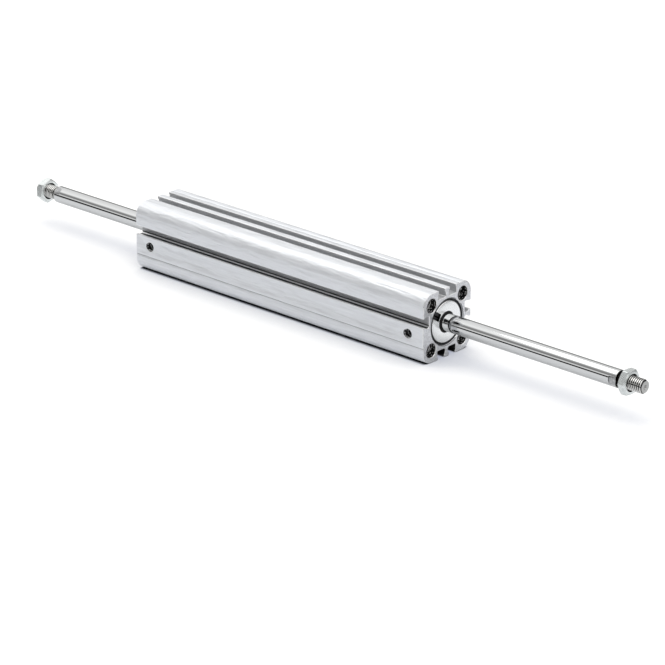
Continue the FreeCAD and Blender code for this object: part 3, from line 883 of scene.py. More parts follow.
class ThreadTree(Tree):
    """Cuts a screw thread into the rings of a turned shape that lies along X."""

    ROOT_TO = 0.2  # share of half a pitch that the flat of the root takes
    CREST_FROM = 0.86  # and where the flat of the crest begins

    def __init__(self) -> None:
        """Build the tree."""
        super().__init__("Cut thread", {
            "Crest radius": "Float", "Depth": "Float", "Pitch": "Float", "Blank radius": "Float",
            "From": "Float", "To": "Float", "Run out": "Float", "Inside": "Bool", "Finish": "Material"})
        begin, stop, run_out = (self.value(label) for label in ("From", "To", "Run out"))
        where = self.add("GeometryNodeInputPosition").outputs["Position"]
        parts = self.add("ShaderNodeSeparateXYZ", {"Vector": where})
        x, y, z = (parts.outputs[axis] for axis in "XYZ")
        squares = [self.math("MULTIPLY", value, value) for value in (y, z)]
        radius = self.math("SQRT", self.math("ADD", *squares))
        turns = self.math("DIVIDE", self.math("ARCTAN2", y, z), TAU)
        phase = self.math("FRACT", self.math("ADD", self.math("DIVIDE", x, self.value("Pitch")), turns))
        ramp = self.math("ABSOLUTE", self.math("SUBTRACT", self.math("MULTIPLY", phase, 2.0), 1.0))
        flank = self.add("ShaderNodeMapRange",
                         {"Value": ramp, "From Min": self.ROOT_TO, "From Max": self.CREST_FROM,
                          "To Min": 1.0, "To Max": 0.0})
        cut = self.math("SUBTRACT", self.value("Crest radius"),
                        self.math("MULTIPLY", flank.outputs["Result"], self.value("Depth")))
        ends = [self.add("ShaderNodeMapRange",
                         {"Value": x, "From Min": limit, "From Max": self.math(way, limit, run_out)})
                for limit, way in ((begin, "ADD"), (stop, "SUBTRACT"))]
        full = self.math("MULTIPLY", *(end.outputs["Result"] for end in ends))
        wanted = self.add("ShaderNodeMix", {"Factor": full, "A": self.value("Blank radius"), "B": cut},
                          data_type="FLOAT").outputs["Result"]
        outer = self.math("MINIMUM", radius, wanted)
        inner = self.math("MAXIMUM", radius, wanted)
        chosen = self.add("GeometryNodeSwitch",
                          {"Switch": self.value("Inside"), "False": outer, "True": inner},
                          input_type="FLOAT")
        share = self.math("DIVIDE", chosen.outputs["Output"], self.math("MAXIMUM", radius, 1e-6))
        moved_y, moved_z = (self.math("MULTIPLY", value, share) for value in (y, z))
        placed = self.add("ShaderNodeCombineXYZ", {"X": x, "Y": moved_y, "Z": moved_z})
        in_range = self.math("MULTIPLY", self.math("GREATER_THAN", x, begin),
                             self.math("LESS_THAN", x, stop))
        off_axis = self.math("MULTIPLY", in_range, self.math("GREATER_THAN", radius, 0.01))
        shaped = self.add("GeometryNodeSetPosition",
                          {"Geometry": self.start.outputs["Geometry"], "Selection": off_axis,
                           "Position": placed.outputs["Vector"]})
        self.finish(shaped.outputs["Geometry"])


class CornersTree(Tree):
    """Repeats a shape at the four corners of a square across X."""

    def __init__(self) -> None:
        """Build the tree."""
        super().__init__("Repeat at corners", {"Spacing": "Float", "Finish": "Material"})
        spacing = self.value("Spacing")
        square = self.add("GeometryNodeMeshGrid",
                          {"Size X": spacing, "Size Y": spacing, "Vertices X": 2, "Vertices Y": 2})
        upright = self.add("GeometryNodeTransform",
                           {"Geometry": square.outputs["Mesh"], "Rotation": (0.0, math.pi / 2, 0.0)})
        shape = self.start.outputs["Geometry"]
        copies = self.add("GeometryNodeInstanceOnPoints",
                          {"Points": upright.outputs["Geometry"], "Instance": shape})
        self.finish(copies.outputs["Instances"])


@dataclass
class Workshop:
    """The trees and finishes that the sub-assemblies share."""

    finishes: Finishes
    sweep: SweepTree
    thread: ThreadTree
    corners: CornersTree


@dataclass(frozen=True)
class Screw:
    """An ISO metric thread, in mm."""

    size: float
    pitch: float

    @property
    def depth(self) -> float:
        """How deep the thread is cut: 17/24 of the height of its sharp triangle."""
        return 0.6134 * self.pitch

    def rings(self, start: float, end: float, per_turn: int) -> list[float]:
        """X of the rings that a thread needs.

        Args:
            start: Where the thread begins.
            end: Where it ends.
            per_turn: Rings for each turn.

        Returns:
            The rings from start to end.
        """
        count = max(2, round((end - start) / self.pitch * per_turn))
        return [start + (end - start) * i / count for i in range(count + 1)]


ROD_THREAD = Screw(8.0, 1.25)  # on the rod's ends and in the jam nuts


# Sub-assemblies. Sizes are in mm, X from the barrel's middle and radii from the rod's axis.


@dataclass
class Barrel:
    """The anodised extrusion with its sensor slots, bore, fixing holes and air ports."""

    shop: Workshop
    length: float = 2 * END_FACE
    half: float = 20.0  # half the width and height
    hole_pitch: float = 26.0
    corner: float = 7.0
    chamfer: float = 0.26
    edge_radius: float = 0.32  # larger than the end chamfer, which would turn a smaller one inside out
    lip_radius: float = 0.32
    foot_radius: float = 0.55
    foot_shade: float = 0.5  # how far from the rib the bottom of a slot takes the darker painted shade
    step_z: float = -10.1  # the fine line low in the front face, and the shallow step below it
    step_depth: float = 0.3
    line_depth: float = 0.5
    mark_y: float = 9.7  # the fine die line along the top
    mark_depth: float = 0.12
    mark_half: float = 0.22
    slot_near: float = 2.1  # the slot's opening, from the face's middle
    slot_far: float = 7.1
    slot_side: float = 7.6  # its outer wall, behind the lip
    slot_foot: float = 1.5  # the rib between two slots, at their bottom and at its waist
    slot_waist: float = 1.1
    slot_lip: float = 1.2
    slot_bevel: float = 0.4
    slot_depth: float = 5.0
    rib_steps: int = 6
    bore: float = 12.5
    mouth: float = 13.3
    mouth_depth: float = 4.6
    mouth_chamfer: float = 0.5
    mouth_rim: float = 0.2  # the chamfer's outer edge, drawn dark as a painted shade line
    groove: float = 13.7  # the circlip's groove
    groove_from: float = 1.0
    groove_to: float = 2.3
    counterbore: float = 4.1
    counterbore_depth: float = 4.5
    fixing: Screw = Screw(6.0, 1.0)
    fixing_core: float = 2.55
    fixing_mouth: float = 3.05
    fixing_thread: float = 9.0
    port: Screw = Screw(5.0, 0.8)
    port_core: float = 2.1
    port_mouth: float = 2.8
    port_reach: float = 4.0  # how far the ports run into the bore
    port_x: float = 97.5
    port_z: float = -3.8

    @property
    def foot(self) -> float:
        """How far the slots' bottoms are from the axis."""
        return self.half - self.slot_depth

    def slot(self, side: int) -> list[tuple[float, float, float]]:
        """One sensor slot as (across, depth, rounding), in the order in which across grows.

        Args:
            side: Which side of the face's middle it is on.

        Returns:
            Corners of the slot's outline.
        """
        middle = (self.slot_foot + self.slot_near) / 2
        rib = []
        for k in range(self.rib_steps + 1):
            t = k / self.rib_steps
            bulge = 4 * t * (1 - t)
            across = self.slot_foot + (self.slot_near - self.slot_foot) * t
            across -= bulge * (middle - self.slot_waist)
            rib.append((across, self.slot_depth + (self.slot_lip - self.slot_depth) * t, 0.0))
        rib[0] = rib[0][:2] + (self.foot_radius,)
        rib[-1] = rib[-1][:2] + (self.edge_radius,)
        inner_first = [(self.slot_near, 0.0, self.lip_radius)] + rib[::-1]
        outer_last = [
            (self.slot_foot + self.foot_radius + self.foot_shade, self.slot_depth, 0.0),
            (self.slot_side, self.slot_depth, 0.3),
            (self.slot_side, self.slot_lip + self.slot_bevel, 0.15),
            (self.slot_far, self.slot_lip, self.edge_radius),
            (self.slot_far, 0.0, self.lip_radius)]
        right = inner_first + outer_last
        if side > 0:
            return right
        return [(-across, deep, radius) for across, deep, radius in right[::-1]]

    def outline(self) -> list[tuple[float, float]]:
        """The bar's section.

        Returns:
            Its outline as (y, z), counter-clockwise seen from +X with Y to the right.
        """
        middle = self.half - self.corner
        back, top, front, bottom = 0, 90, 180, 270
        slots = {back: (-1, 1), top: (-1, 1), front: (-1,), bottom: (-1, 1)}
        corners: list[tuple[float, float, float]] = []
        for turn, sides in slots.items():
            angle = math.radians(turn)
            out = Vector((math.cos(angle), math.sin(angle)))
            along = Vector((-out.y, out.x))
            for side in sides:
                for across, deep, radius in self.slot(side):
                    at = along * across + out * (self.half - deep)
                    corners.append((at.x, at.y, radius))
            if turn == front:
                corners += self.front_step()
                continue
            centre = (out + along) * middle
            round_off = arc(tuple(centre), self.corner, turn, turn + 90, steps=20)
            corners += [(y, z, 0.0) for y, z in round_off]
            if turn == back:
                corners += [
                    (self.mark_y + self.mark_half, self.half, 0.0),
                    (self.mark_y, self.half - self.mark_depth, 0.0),
                    (self.mark_y - self.mark_half, self.half, 0.0)]
        return rounded(corners)

    def front_step(self) -> list[tuple[float, float, float]]:
        """The fine line and shallow step low in the front face, and the corner below them.

        Returns:
            Corners of the outline, unrounded.
        """
        middle = self.half - self.corner
        face = self.half - self.step_depth
        start = 180 + math.degrees(math.acos((face - middle) / self.corner))
        lower = arc((-middle, -middle), self.corner, start, 270, steps=16)
        line = [(-self.half, self.step_z + 0.2), (-self.half + self.line_depth, self.step_z),
                (-face, self.step_z - 0.35)]
        return [(y, z, 0.0) for y, z in line + lower]

    def bore_tool(self) -> bpy.types.Object:
        """The bore, both mouths for the caps, and the circlip grooves.

        Returns:
            The tool.
        """
        end = self.length / 2
        wide = self.mouth + self.mouth_chamfer
        half = [
            (end + 1, 0.0), (end + 1, wide + 1), (end, wide),
            (end - self.mouth_rim, wide - self.mouth_rim),
            (end - self.mouth_chamfer, self.mouth),
            (end - self.groove_from, self.mouth), (end - self.groove_from, self.groove),
            (end - self.groove_to, self.groove), (end - self.groove_to, self.mouth),
            (end - self.mouth_depth, self.mouth), (end - self.mouth_depth - 0.3, self.bore)]
        whole = half + [(-x, radius) for x, radius in half[::-1]]
        tool = lathe("bore_tool", whole, around=128)
        tool.data.materials.append(self.shop.finishes.machined)
        tool.data.materials.append(self.shop.finishes.shade)
        # The chamfer's outer rim takes the painted shade: a thin dark line round the mouth.
        for face in tool.data.polygons:
            if 0 < end - abs(face.center.x) < self.mouth_rim:
                face.material_index = 1
        return tool

    def fixing_tool(self) -> bpy.types.Object:
        """The four through holes: counterbore, tapped stretch and core.

        Returns:
            The tool.
        """
        end = self.length / 2
        floor = end - self.counterbore_depth
        deep = floor - self.fixing_thread
        rings = self.fixing.rings(deep, floor - 0.5, per_turn=10)[::-1]
        half = [(end + 1, 0.0), (end + 1, self.counterbore + 1.3), (end, self.counterbore + 0.3),
                (end - 0.3, self.counterbore), (floor, self.counterbore), (floor, self.fixing_mouth),
                (floor - 0.45, self.fixing_core + 0.05)]
        half += [(x, self.fixing_core) for x in rings]
        whole = half + [(-x, radius) for x, radius in half[::-1]]
        hole = lathe("fixing_hole", whole, around=32)
        for start, stop in ((deep, floor - 0.05), (-floor + 0.05, -deep)):
            self.shop.thread.apply(
                hole, Crest_radius=self.fixing.size / 2, Depth=self.fixing.size / 2 - self.fixing_core,
                Pitch=self.fixing.pitch, Blank_radius=self.fixing_core, From=start, To=stop,
                Run_out=0.5, Inside=True, Finish=self.shop.finishes.machined)
        return self.shop.corners.apply(hole, Spacing=self.hole_pitch, Finish=self.shop.finishes.machined)

    def port_tool(self) -> bpy.types.Object:
        """Both air ports: a chamfered mouth and a tapped hole into the bore.

        Returns:
            The tool.
        """
        inner = self.bore - self.port_reach
        rings = self.port.rings(inner, self.half - 0.8, per_turn=12)
        profile = [(inner - 0.5, 0.0), (inner - 0.5, self.port_core)]
        profile += [(x, self.port_core) for x in rings]
        profile += [(self.half - 0.7, self.port_core), (self.half - 0.15, self.port_mouth - 0.1),
                    (self.half, self.port_mouth + 0.15), (self.half + 0.5, self.port_mouth + 0.65),
                    (self.half + 0.5, 0.0)]
        ports = []
        for side in Side:
            tool = lathe("port_hole", profile, around=40)
            self.shop.thread.apply(
                tool, Crest_radius=self.port.size / 2, Depth=self.port.size / 2 - self.port_core,
                Pitch=self.port.pitch, Blank_radius=self.port_core, From=inner, To=self.half - 0.1,
                Run_out=0.6, Inside=True, Finish=self.shop.finishes.port)
            turn = Matrix.Rotation(-math.pi / 2, 4, "Z")
            tool.data.transform(Matrix.Translation((side.value * self.port_x, 0, self.port_z)) @ turn)
            ports.append(tool)
        return join("port_tool", ports)

    def finish_of(self, face: bpy.types.MeshPolygon, cut_by: bpy.types.Material) -> bpy.types.Material:
        """Which finish a face of the carved bar has.

        Args:
            face: The face.
            cut_by: The finish that the extrusion or the cutting tool gave it.

        Returns:
            The finish that it has in the end.
        """
        finishes = self.shop.finishes
        x, y, z = (abs(value) for value in face.center)
        low, high = sorted((y, z))
        slanted = 0.4 < abs(face.normal.x) < 0.9
        if cut_by is finishes.anodised:
            return self.finish_along(face, slanted)
        # The port's mouth: a bare chamfer, drawn bright as a painted highlight rim.
        if cut_by is finishes.port:
            straight = max(abs(face.normal.y), abs(face.normal.z))
            return finishes.edge if y > self.half - 0.15 and not slanted and straight < 0.9 else cut_by
        # The counterbore's chamfer takes the same bright rim, and its wall the painted shade with glints.
        if low > self.slot_side and x > self.length / 2 - self.counterbore_depth - 0.05:
            return finishes.edge if slanted else finishes.counterbore
        return cut_by

    def finish_along(self, face: bpy.types.MeshPolygon, slanted: bool) -> bpy.types.Material:
        """Which finish a face of the extrusion itself has.

        Args:
            face: The face.
            slanted: Whether it is part of the chamfer round the end face.

        Returns:
            The face's finish.
        """
        finishes = self.shop.finishes
        y, z = face.center.y, face.center.z
        low, high = sorted((abs(y), abs(z)))
        if abs(face.normal.x) > 0.95:
            return finishes.sawn
        # 1 on a flat wall, and less where an edge is rounded
        straight = max(abs(face.normal.y), abs(face.normal.z))
        # The bright edge finish: bare metal on the end chamfer, and a painted highlight on the rounded lips,
        # the lips' upward ledges and the slots' feet.
        on_lip = min(abs(low - self.slot_near), abs(low - self.slot_far)) < 0.3
        lip_highlight = high > self.half - 0.3 and straight < 0.995
        lit_ledge = abs(y) > abs(z) and high > self.half - self.slot_lip and face.normal.z > 0.9
        at_foot = abs(low - self.slot_foot) < 0.5 and high < self.foot + 0.5 and straight < 0.98
        if slanted or (on_lip and (lip_highlight or lit_ledge)) or at_foot:
            return finishes.edge
        # The fine line low in the front face and the die line on top take the slot's painted shade.
        in_line = y < -self.half + self.line_depth and abs(abs(z) + self.step_z) < 0.3
        on_mark = z > self.half - self.mark_depth and abs(y - self.mark_y) < 0.25
        if (in_line or on_mark) and straight < 0.98:
            return finishes.slot
        if low < self.slot_side + 0.05 and high < self.half - 0.35:
            # Darker painted shade: the slots beneath, the front slot's upward walls, and its bottom by the
            # rib.
            beneath = z < -self.foot + 0.1
            flank = y < -self.foot and face.normal.z > 0.3
            rib = self.slot_foot + self.foot_radius
            by_rib = y < -self.foot + 0.1 and rib < low < rib + self.foot_shade
            return finishes.shade if beneath or flank or by_rib else finishes.slot
        return finishes.anodised

    def dress(self, bar: bpy.types.Object) -> None:
        """Give every face of the carved bar its finish.

        Args:
            bar: The carved bar.
        """
        cut_by = list(bar.data.materials)
        chosen = [self.finish_of(face, cut_by[face.material_index]) for face in bar.data.polygons]
        kinds = list(dict.fromkeys(chosen))
        bar.data.materials.clear()
        for kind in kinds:
            bar.data.materials.append(kind)
        bar.data.polygons.foreach_set("material_index", [kinds.index(kind) for kind in chosen])

    def build(self) -> bpy.types.Object:
        """Build the barrel in place of its CAD node.

        Returns:
            The barrel.
        """
        bar = self.shop.sweep.apply(
            section("barrel_section", self.outline()), Length=self.length, Chamfer=self.chamfer,
            Finish=self.shop.finishes.anodised)
        bar.name = "anodised_barrel"
        carve(bar, self.bore_tool())
        carve(bar, self.fixing_tool())
        carve(bar, self.port_tool())
        self.dress(bar)
        settle(bar)
        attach(bar, Body.BARREL.value)
        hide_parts("barrel")
        log.info("barrel: %d faces", len(bar.data.polygons))
        return bar


@dataclass
class RodHalf:
    """One half of the chromed rod, with its wrench flats, neck, thread and centre drill."""

    shop: Workshop
    side: Side
    shoulder: float
    radius: float = 5.0
    thread: Screw = ROD_THREAD
    thread_length: float = 16.0
    neck: float = 3.2
    neck_length: float = 1.6
    neck_round: float = 0.2
    shoulder_round: float = 0.5
    tip_radius: float = 3.28
    drill_radius: float = 1.3  # the centre drill's mouth
    flat_length: float = 4.5
    flat_across: float = 9.0
    flat_turn: float = 0.0
    flat_cutter: float = 8.0  # how far the milling cutter reaches from the axis
    inner_end: float = 0.0
    stud_radius: float = 3.0  # the right rod's stud, which screws into the left rod
    stud_shoulder: float = 24.0
    stud_hole: float = 3.05
    stud_hole_depth: float = 13.0
    around: int = 72

    @property
    def tip(self) -> float:
        """X of the rod's outer end."""
        return self.shoulder + self.thread_length

    @property
    def cut_start(self) -> float:
        """X where the neck ends and the thread begins."""
        return self.shoulder + self.neck_length

    def profile(self) -> list[tuple[float, float]]:
        """The rod's turned outline.

        Returns:
            Points (x, radius), from the end inside the piston to the tip.
        """
        tip, cut_start, crest = self.tip, self.cut_start, self.thread.size / 2
        shank = self.shoulder - self.flat_length
        bend, fillet = self.shoulder_round, self.neck_round
        points = self.inside()
        points += [(shank - 30.0, self.radius), (shank - 1.0, self.radius), (shank, self.radius)]
        points += arc((self.shoulder - bend, self.radius - bend), bend, 90, 35, steps=4)
        points += [(self.shoulder, self.radius - 0.62), (self.shoulder, self.neck + fillet)]
        points += arc((self.shoulder + fillet, self.neck + fillet), fillet, 180, 270, steps=3)[1:]
        points += [(cut_start - 0.45, self.neck), (cut_start, crest - 0.35)]
        points += [(x, crest) for x in self.thread.rings(cut_start + 0.3, tip - 0.75, per_turn=20)]
        points += [(tip - 0.05, self.tip_radius + 0.07), (tip, self.tip_radius)]
        points += [(tip, self.drill_radius), (tip - 0.15, self.drill_radius - 0.08), (tip - 2.1, 0.3),
                   (tip - 2.3, 0.0)]
        return points

    def inside(self) -> list[tuple[float, float]]:
        """The end that is screwed together inside the piston.

        Returns:
            Points (x, radius), from the axis to the rod's surface.
        """
        face = self.inner_end
        if self.side is Side.LEFT:
            bottom = face + self.stud_hole_depth
            return [(bottom, 0.0), (bottom, self.stud_hole), (face, self.stud_hole), (face, self.radius)]
        return [(face, 0.0), (face, self.stud_radius), (self.stud_shoulder, self.stud_radius),
                (self.stud_shoulder, self.radius)]

    def flats_tool(self) -> bpy.types.Object:
        """The two blocks that mill the wrench flats.

        Returns:
            The tool.
        """
        half, far = self.flat_across / 2, self.flat_cutter
        start, end = self.shoulder - self.flat_length, self.shoulder + 0.5
        blocks = []
        for sign in (-1, 1):
            outline = [(sign * half, -far), (sign * far, -far), (sign * far, far), (sign * half, far)]
            blocks.append(prism("flat_cutter", outline, start, end))
        tool = join("flats_cutter", blocks)
        tool.data.transform(Matrix.Rotation(math.radians(self.flat_turn), 4, "X"))
        tool.data.materials.append(self.shop.finishes.milled)
        return tool

    def build(self) -> bpy.types.Object:
        """Build the rod half in place of its CAD node.

        Returns:
            The rod half.
        """
        rod = lathe(f"{self.side.label}_chromed_rod", self.profile(), self.around)
        self.shop.thread.apply(
            rod, Crest_radius=self.thread.size / 2, Depth=self.thread.depth, Pitch=self.thread.pitch,
            Blank_radius=self.thread.size / 2, From=self.cut_start - 0.4, To=self.tip + 0.5,
            Run_out=0.3, Inside=False, Finish=self.shop.finishes.chrome)
        self.dress_end(rod, self.shoulder - 0.45)
        carve(rod, self.flats_tool())
        to_side(rod, self.side)
        settle(rod)
        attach(rod, Body.ROD.value)
        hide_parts(f"{self.side.label}_rod")
        log.info("%s rod: %d faces", self.side.label, len(rod.data.polygons))
        return rod

    def dress_end(self, rod: bpy.types.Object, start: float) -> None:
        """Give the rod's machined end its bare steel.

        Args:
            rod: The rod half.
            start: Where the bare steel begins, along X.
        """
        finishes = self.shop.finishes
        for finish in (finishes.steel, finishes.neck, finishes.thread):
            rod.data.materials.append(finish)
        steel, neck, thread = 1, 2, 3
        if self.side is Side.LEFT:
            neck = steel  # only the right rod's neck is drawn dark, as painted shade
        for face in rod.data.polygons:
            x = face.center.x
            if x > start:
                in_neck = start + 0.4 < x < self.cut_start
                outside = math.hypot(face.center.y, face.center.z) > self.drill_radius * 2
                on_thread = self.cut_start < x < self.tip and outside
                face.material_index = neck if in_neck else thread if on_thread else steel


@dataclass
class JamNut:
    """A thin hexagon nut, chamfered on both faces and tapped."""

    shop: Workshop
    side: Side
    start: float
    turn: float
    across: float = 13.0
    thickness: float = 4.5
    face_share: float = 0.95  # how much of the width across flats the round face keeps
    corner_loss: float = 0.3
    corner_round: float = 0.35
    thread: Screw = ROD_THREAD
    clearance: float = 0.05
    sink: float = 0.95  # how much wider the countersink's mouth is than the thread

    @property
    def reach(self) -> float:
        """How far the hexagon's corners are from the axis."""
        return self.across / 2 / math.cos(math.pi / 6)

    def hexagon(self) -> list[tuple[float, float]]:
        """The hexagon, its six edges slightly rounded.

        Returns:
            The outline as (y, z).
        """
        angles = [math.radians(60 * k) for k in range(6)]
        corners = [(self.reach * math.cos(a), self.reach * math.sin(a), self.corner_round) for a in angles]
        return rounded(corners, steps=5)

    def chamfer_tool(self) -> bpy.types.Object:
        """The turned shape that leaves the nut's faces round.

        Returns:
            The shape that the nut keeps.
        """
        reach = self.reach - self.corner_loss
        face = self.across / 2 * self.face_share
        drop = (reach - face) * math.tan(math.radians(30))
        half = [(0, 0), (0, face - 0.08), (0.05, face + 0.02), (drop, reach), (drop, reach + 1)]
        profile = half + [(self.thickness - x, radius) for x, radius in half[::-1]]
        tool = lathe("nut_chamfer", profile, around=96)
        tool.data.materials.append(self.shop.finishes.zinc)
        return tool

    def bore_tool(self) -> bpy.types.Object:
        """The tapped hole with a countersink at each face.

        Returns:
            The tool.
        """
        crest = self.thread.size / 2 + self.clearance
        minor = crest - self.thread.depth
        mouth = crest + self.sink
        end = self.thickness
        profile = [(-0.5, 0), (-0.5, mouth + 0.5)]
        rings = self.thread.rings(0.0, end, per_turn=20)
        profile += [(x, max(minor, mouth - min(x, end - x))) for x in rings]
        profile += [(end + 0.5, mouth + 0.5), (end + 0.5, 0)]
        tool = lathe("nut_bore", profile, around=72)
        shift = Matrix.Translation((self.start, 0, 0))
        tool.data.transform(shift)
        # The tapped hole and its countersinks take the painted shade.
        self.shop.thread.apply(
            tool, Crest_radius=crest, Depth=self.thread.depth, Pitch=self.thread.pitch, Blank_radius=minor,
            From=self.start - 0.2, To=self.start + end + 0.2, Run_out=0.1, Inside=True,
            Finish=self.shop.finishes.neck)
        tool.data.transform(shift.inverted())
        return tool

    def build(self) -> bpy.types.Object:
        """Build the nut in place of its CAD node.

        Returns:
            The nut.
        """
        nut = prism(f"{self.side.label}_zinc_nut", self.hexagon(), 0.0, self.thickness)
        nut.data.materials.append(self.shop.finishes.zinc)
        carve(nut, self.chamfer_tool(), "INTERSECT")
        nut.data.transform(Matrix.Rotation(math.radians(self.turn), 4, "X"))
        carve(nut, self.bore_tool())
        nut.data.transform(Matrix.Translation((self.start, 0, 0)))
        to_side(nut, self.side)
        settle(nut)
        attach(nut, Body.ROD.value)
        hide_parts(f"{self.side.label}_jam_nut")
        log.info("%s nut: %d faces", self.side.label, len(nut.data.polygons))
        return nut


@dataclass
class BearingCap:
    """The turned cap that guides the rod, with the notch for the circlip's lugs."""

    shop: Workshop
    side: Side
    # Radii
    nose: float = 11.85
    flange: float = 13.25
    land: float = 12.45
    groove: float = 10.9
    spigot: float = 11.0
    rod_hole: float = 5.3
    wiper_seat: float = 6.05
    seal_seat: float = 7.05
    bush_seat: float = 6.0
    buffer: tuple[float, float] = (7.15, 10.25)
    # Depths below the barrel's end face
    front: float = 0.3
    flange_at: float = 2.3
    land_at: float = 4.6
    groove_at: tuple[float, float] = (5.85, 7.4)
    spigot_at: float = 8.6
    buffer_at: float = 11.6
    back: float = 13.0
    wiper_to: float = 2.5
    seal_at: tuple[float, float] = (3.25, 5.75)
    bush_at: float = 6.55
    notch: tuple[float, float] = (6.9, 2.2)  # nearest the axis, and half its width
    notch_round: float = 0.6

    def profile(self) -> list[tuple[float, float]]:
        """The turned outline.

        Returns:
            Points (depth below the barrel's end face, radius).
        """
        inner, outer = self.buffer
        first, last = self.groove_at
        seal, seal_end = self.seal_at
        nose = [
            (self.front, self.wiper_seat + 0.15), (self.front, self.nose - 0.35),
            (self.front + 0.06, self.nose - 0.2), (self.front + 0.3, self.nose),
            (self.flange_at - 0.1, self.nose), (self.flange_at, self.nose + 0.1)]
        flange = [
            (self.flange_at, self.flange - 0.15), (self.flange_at + 0.15, self.flange),
            (self.land_at - 0.1, self.flange), (self.land_at, self.flange - 0.1)]
        land = [
            (self.land_at, self.land), (first - 0.05, self.land), (first, self.land - 0.05),
            (first, self.groove), (last, self.groove), (last, self.land - 0.05),
            (last + 0.05, self.land), (self.spigot_at - 0.1, self.land), (self.spigot_at, self.land - 0.1)]
        buffer = [
            (self.spigot_at, self.spigot), (self.back - 0.3, self.spigot), (self.back, self.spigot - 0.3),
            (self.back, outer), (self.buffer_at, outer), (self.buffer_at, inner), (self.back, inner)]
        hole = [
            (self.back, self.bush_seat + 0.1), (self.back - 0.1, self.bush_seat),
            (self.bush_at, self.bush_seat), (self.bush_at, self.rod_hole), (seal_end, self.rod_hole),
            (seal_end, self.seal_seat), (seal, self.seal_seat), (seal, self.rod_hole),
            (self.wiper_to, self.rod_hole), (self.wiper_to, self.wiper_seat),
            (self.front + 0.15, self.wiper_seat)]
        return nose + flange + land + buffer + hole

    def notch_tool(self) -> bpy.types.Object:
        """The end mill's path through the nose.

        Returns:
            The tool.
        """
        near, half = self.notch
        far, bend = self.flange - 0.25, self.notch_round
        corners = [(near, -half, bend), (far, -half, 0.0), (far, half, 0.0), (near, half, bend)]
        outline = rounded(corners, steps=6)
        tool = prism("lug_notch", outline, END_FACE - self.flange_at, END_FACE + 1.0)
        tool.data.transform(Matrix.Rotation(math.radians(LUG_TURN), 4, "X"))
        # The notch's walls take the painted shade.
        tool.data.materials.append(self.shop.finishes.neck)
        return tool

    def shade_gap(self, cap: bpy.types.Object) -> None:
        """Paint shade into the gap round the nose: its bottom near black, and the nose's side in the slot's
        darker grey.

        Args:
            cap: The carved cap.
        """
        painted_gap_index = len(cap.data.materials)
        cap.data.materials.append(self.shop.finishes.neck)
        cap.data.materials.append(self.shop.finishes.slot)
        for face in cap.data.polygons:
            radius = math.hypot(face.center.y, face.center.z)
            deep = END_FACE - face.center.x
            if self.flange_at - 0.1 < deep < self.flange_at + 0.2 and radius > self.nose:
                face.material_index = painted_gap_index
            elif self.front + 0.2 < deep < self.flange_at - 0.1 and abs(radius - self.nose) < 0.1:
                face.material_index = painted_gap_index + 1

    def build(self) -> bpy.types.Object:
        """Build the cap in place of its CAD node.

        Returns:
            The cap.
        """
        name = f"{self.side.label}_turned_cap"
        cap = lathe(name, [(END_FACE - deep, radius) for deep, radius in self.profile()], around=128)
        cap.data.materials.append(self.shop.finishes.cap)
        carve(cap, self.notch_tool())
        self.shade_gap(cap)
        settle(to_side(cap, self.side))
        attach(cap, Body.BARREL.value)
        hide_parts(f"{self.side.label}_bearing_cap")
        log.info("%s cap: %d faces", self.side.label, len(cap.data.polygons))
        return cap


@dataclass
class Circlip:
    """The stamped spring ring that holds the cap, with its two drilled lugs."""

    shop: Workshop
    side: Side
    middle: float = 106.8
    thickness: float = 1.2
    outer: float = 13.65
    inner: float = 12.5
    gap: float = 0.4  # half the opening
    lug_side: float = 1.9
    lug_tip: float = 7.2
    hole: float = 0.4
    hole_from_tip: float = 0.75

    def outline(self) -> list[tuple[float, float]]:
        """The open ring, its lugs about +Y.

        Returns:
            The outline as (y, z).
        """
        opening = math.degrees(math.asin(self.gap / self.outer))
        joint = math.degrees(math.asin(self.lug_side / self.inner))
        root = math.sqrt(self.inner ** 2 - self.lug_side ** 2)
        ring = [(y, z, 0.0) for y, z in arc((0, 0), self.outer, opening, 360 - opening, steps=90)]
        lower = [(self.lug_tip, -self.gap, 0.5), (self.lug_tip, -self.lug_side, 0.9),
                 (root, -self.lug_side, 0.5)]
        inside = [(y, z, 0.0) for y, z in arc((0, 0), self.inner, 360 - joint - 4, joint + 4, steps=84)]
        upper = [(y, -z, radius) for y, z, radius in lower[::-1]]
        return rounded(ring + lower + inside + upper)

    def holes_tool(self) -> bpy.types.Object:
        """The two drills for the plier holes.

        Returns:
            The tool.
        """
        drills = []
        for sign in (-1, 1):
            drill = lathe("plier_drill", [(-2, 0), (-2, self.hole), (2, self.hole), (2, 0)], around=20)
            place = (0, self.lug_tip + self.hole_from_tip, sign * (self.gap + self.lug_side) / 2)
            drill.data.transform(Matrix.Translation(place))
            drills.append(drill)
        tool = join("plier_drills", drills)
        # The plier holes' walls take the painted shade.
        tool.data.materials.append(self.shop.finishes.neck)
        return tool

    def build(self) -> bpy.types.Object:
        """Build the circlip in place of its CAD node.

        Returns:
            The circlip.
        """
        name = f"{self.side.label}_spring_ring"
        clip = self.shop.sweep.apply(section(name, self.outline()), Length=self.thickness, Chamfer=0.1,
                                     Finish=self.shop.finishes.spring)
        carve(clip, self.holes_tool())
        turned = Matrix.Rotation(math.radians(LUG_TURN), 4, "X")
        clip.data.transform(Matrix.Translation((self.middle, 0, 0)) @ turned)
        settle(to_side(clip, self.side))
        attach(clip, Body.BARREL.value)
        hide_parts(f"{self.side.label}_circlip")
        log.info("%s circlip: %d faces", self.side.label, len(clip.data.polygons))
        return clip


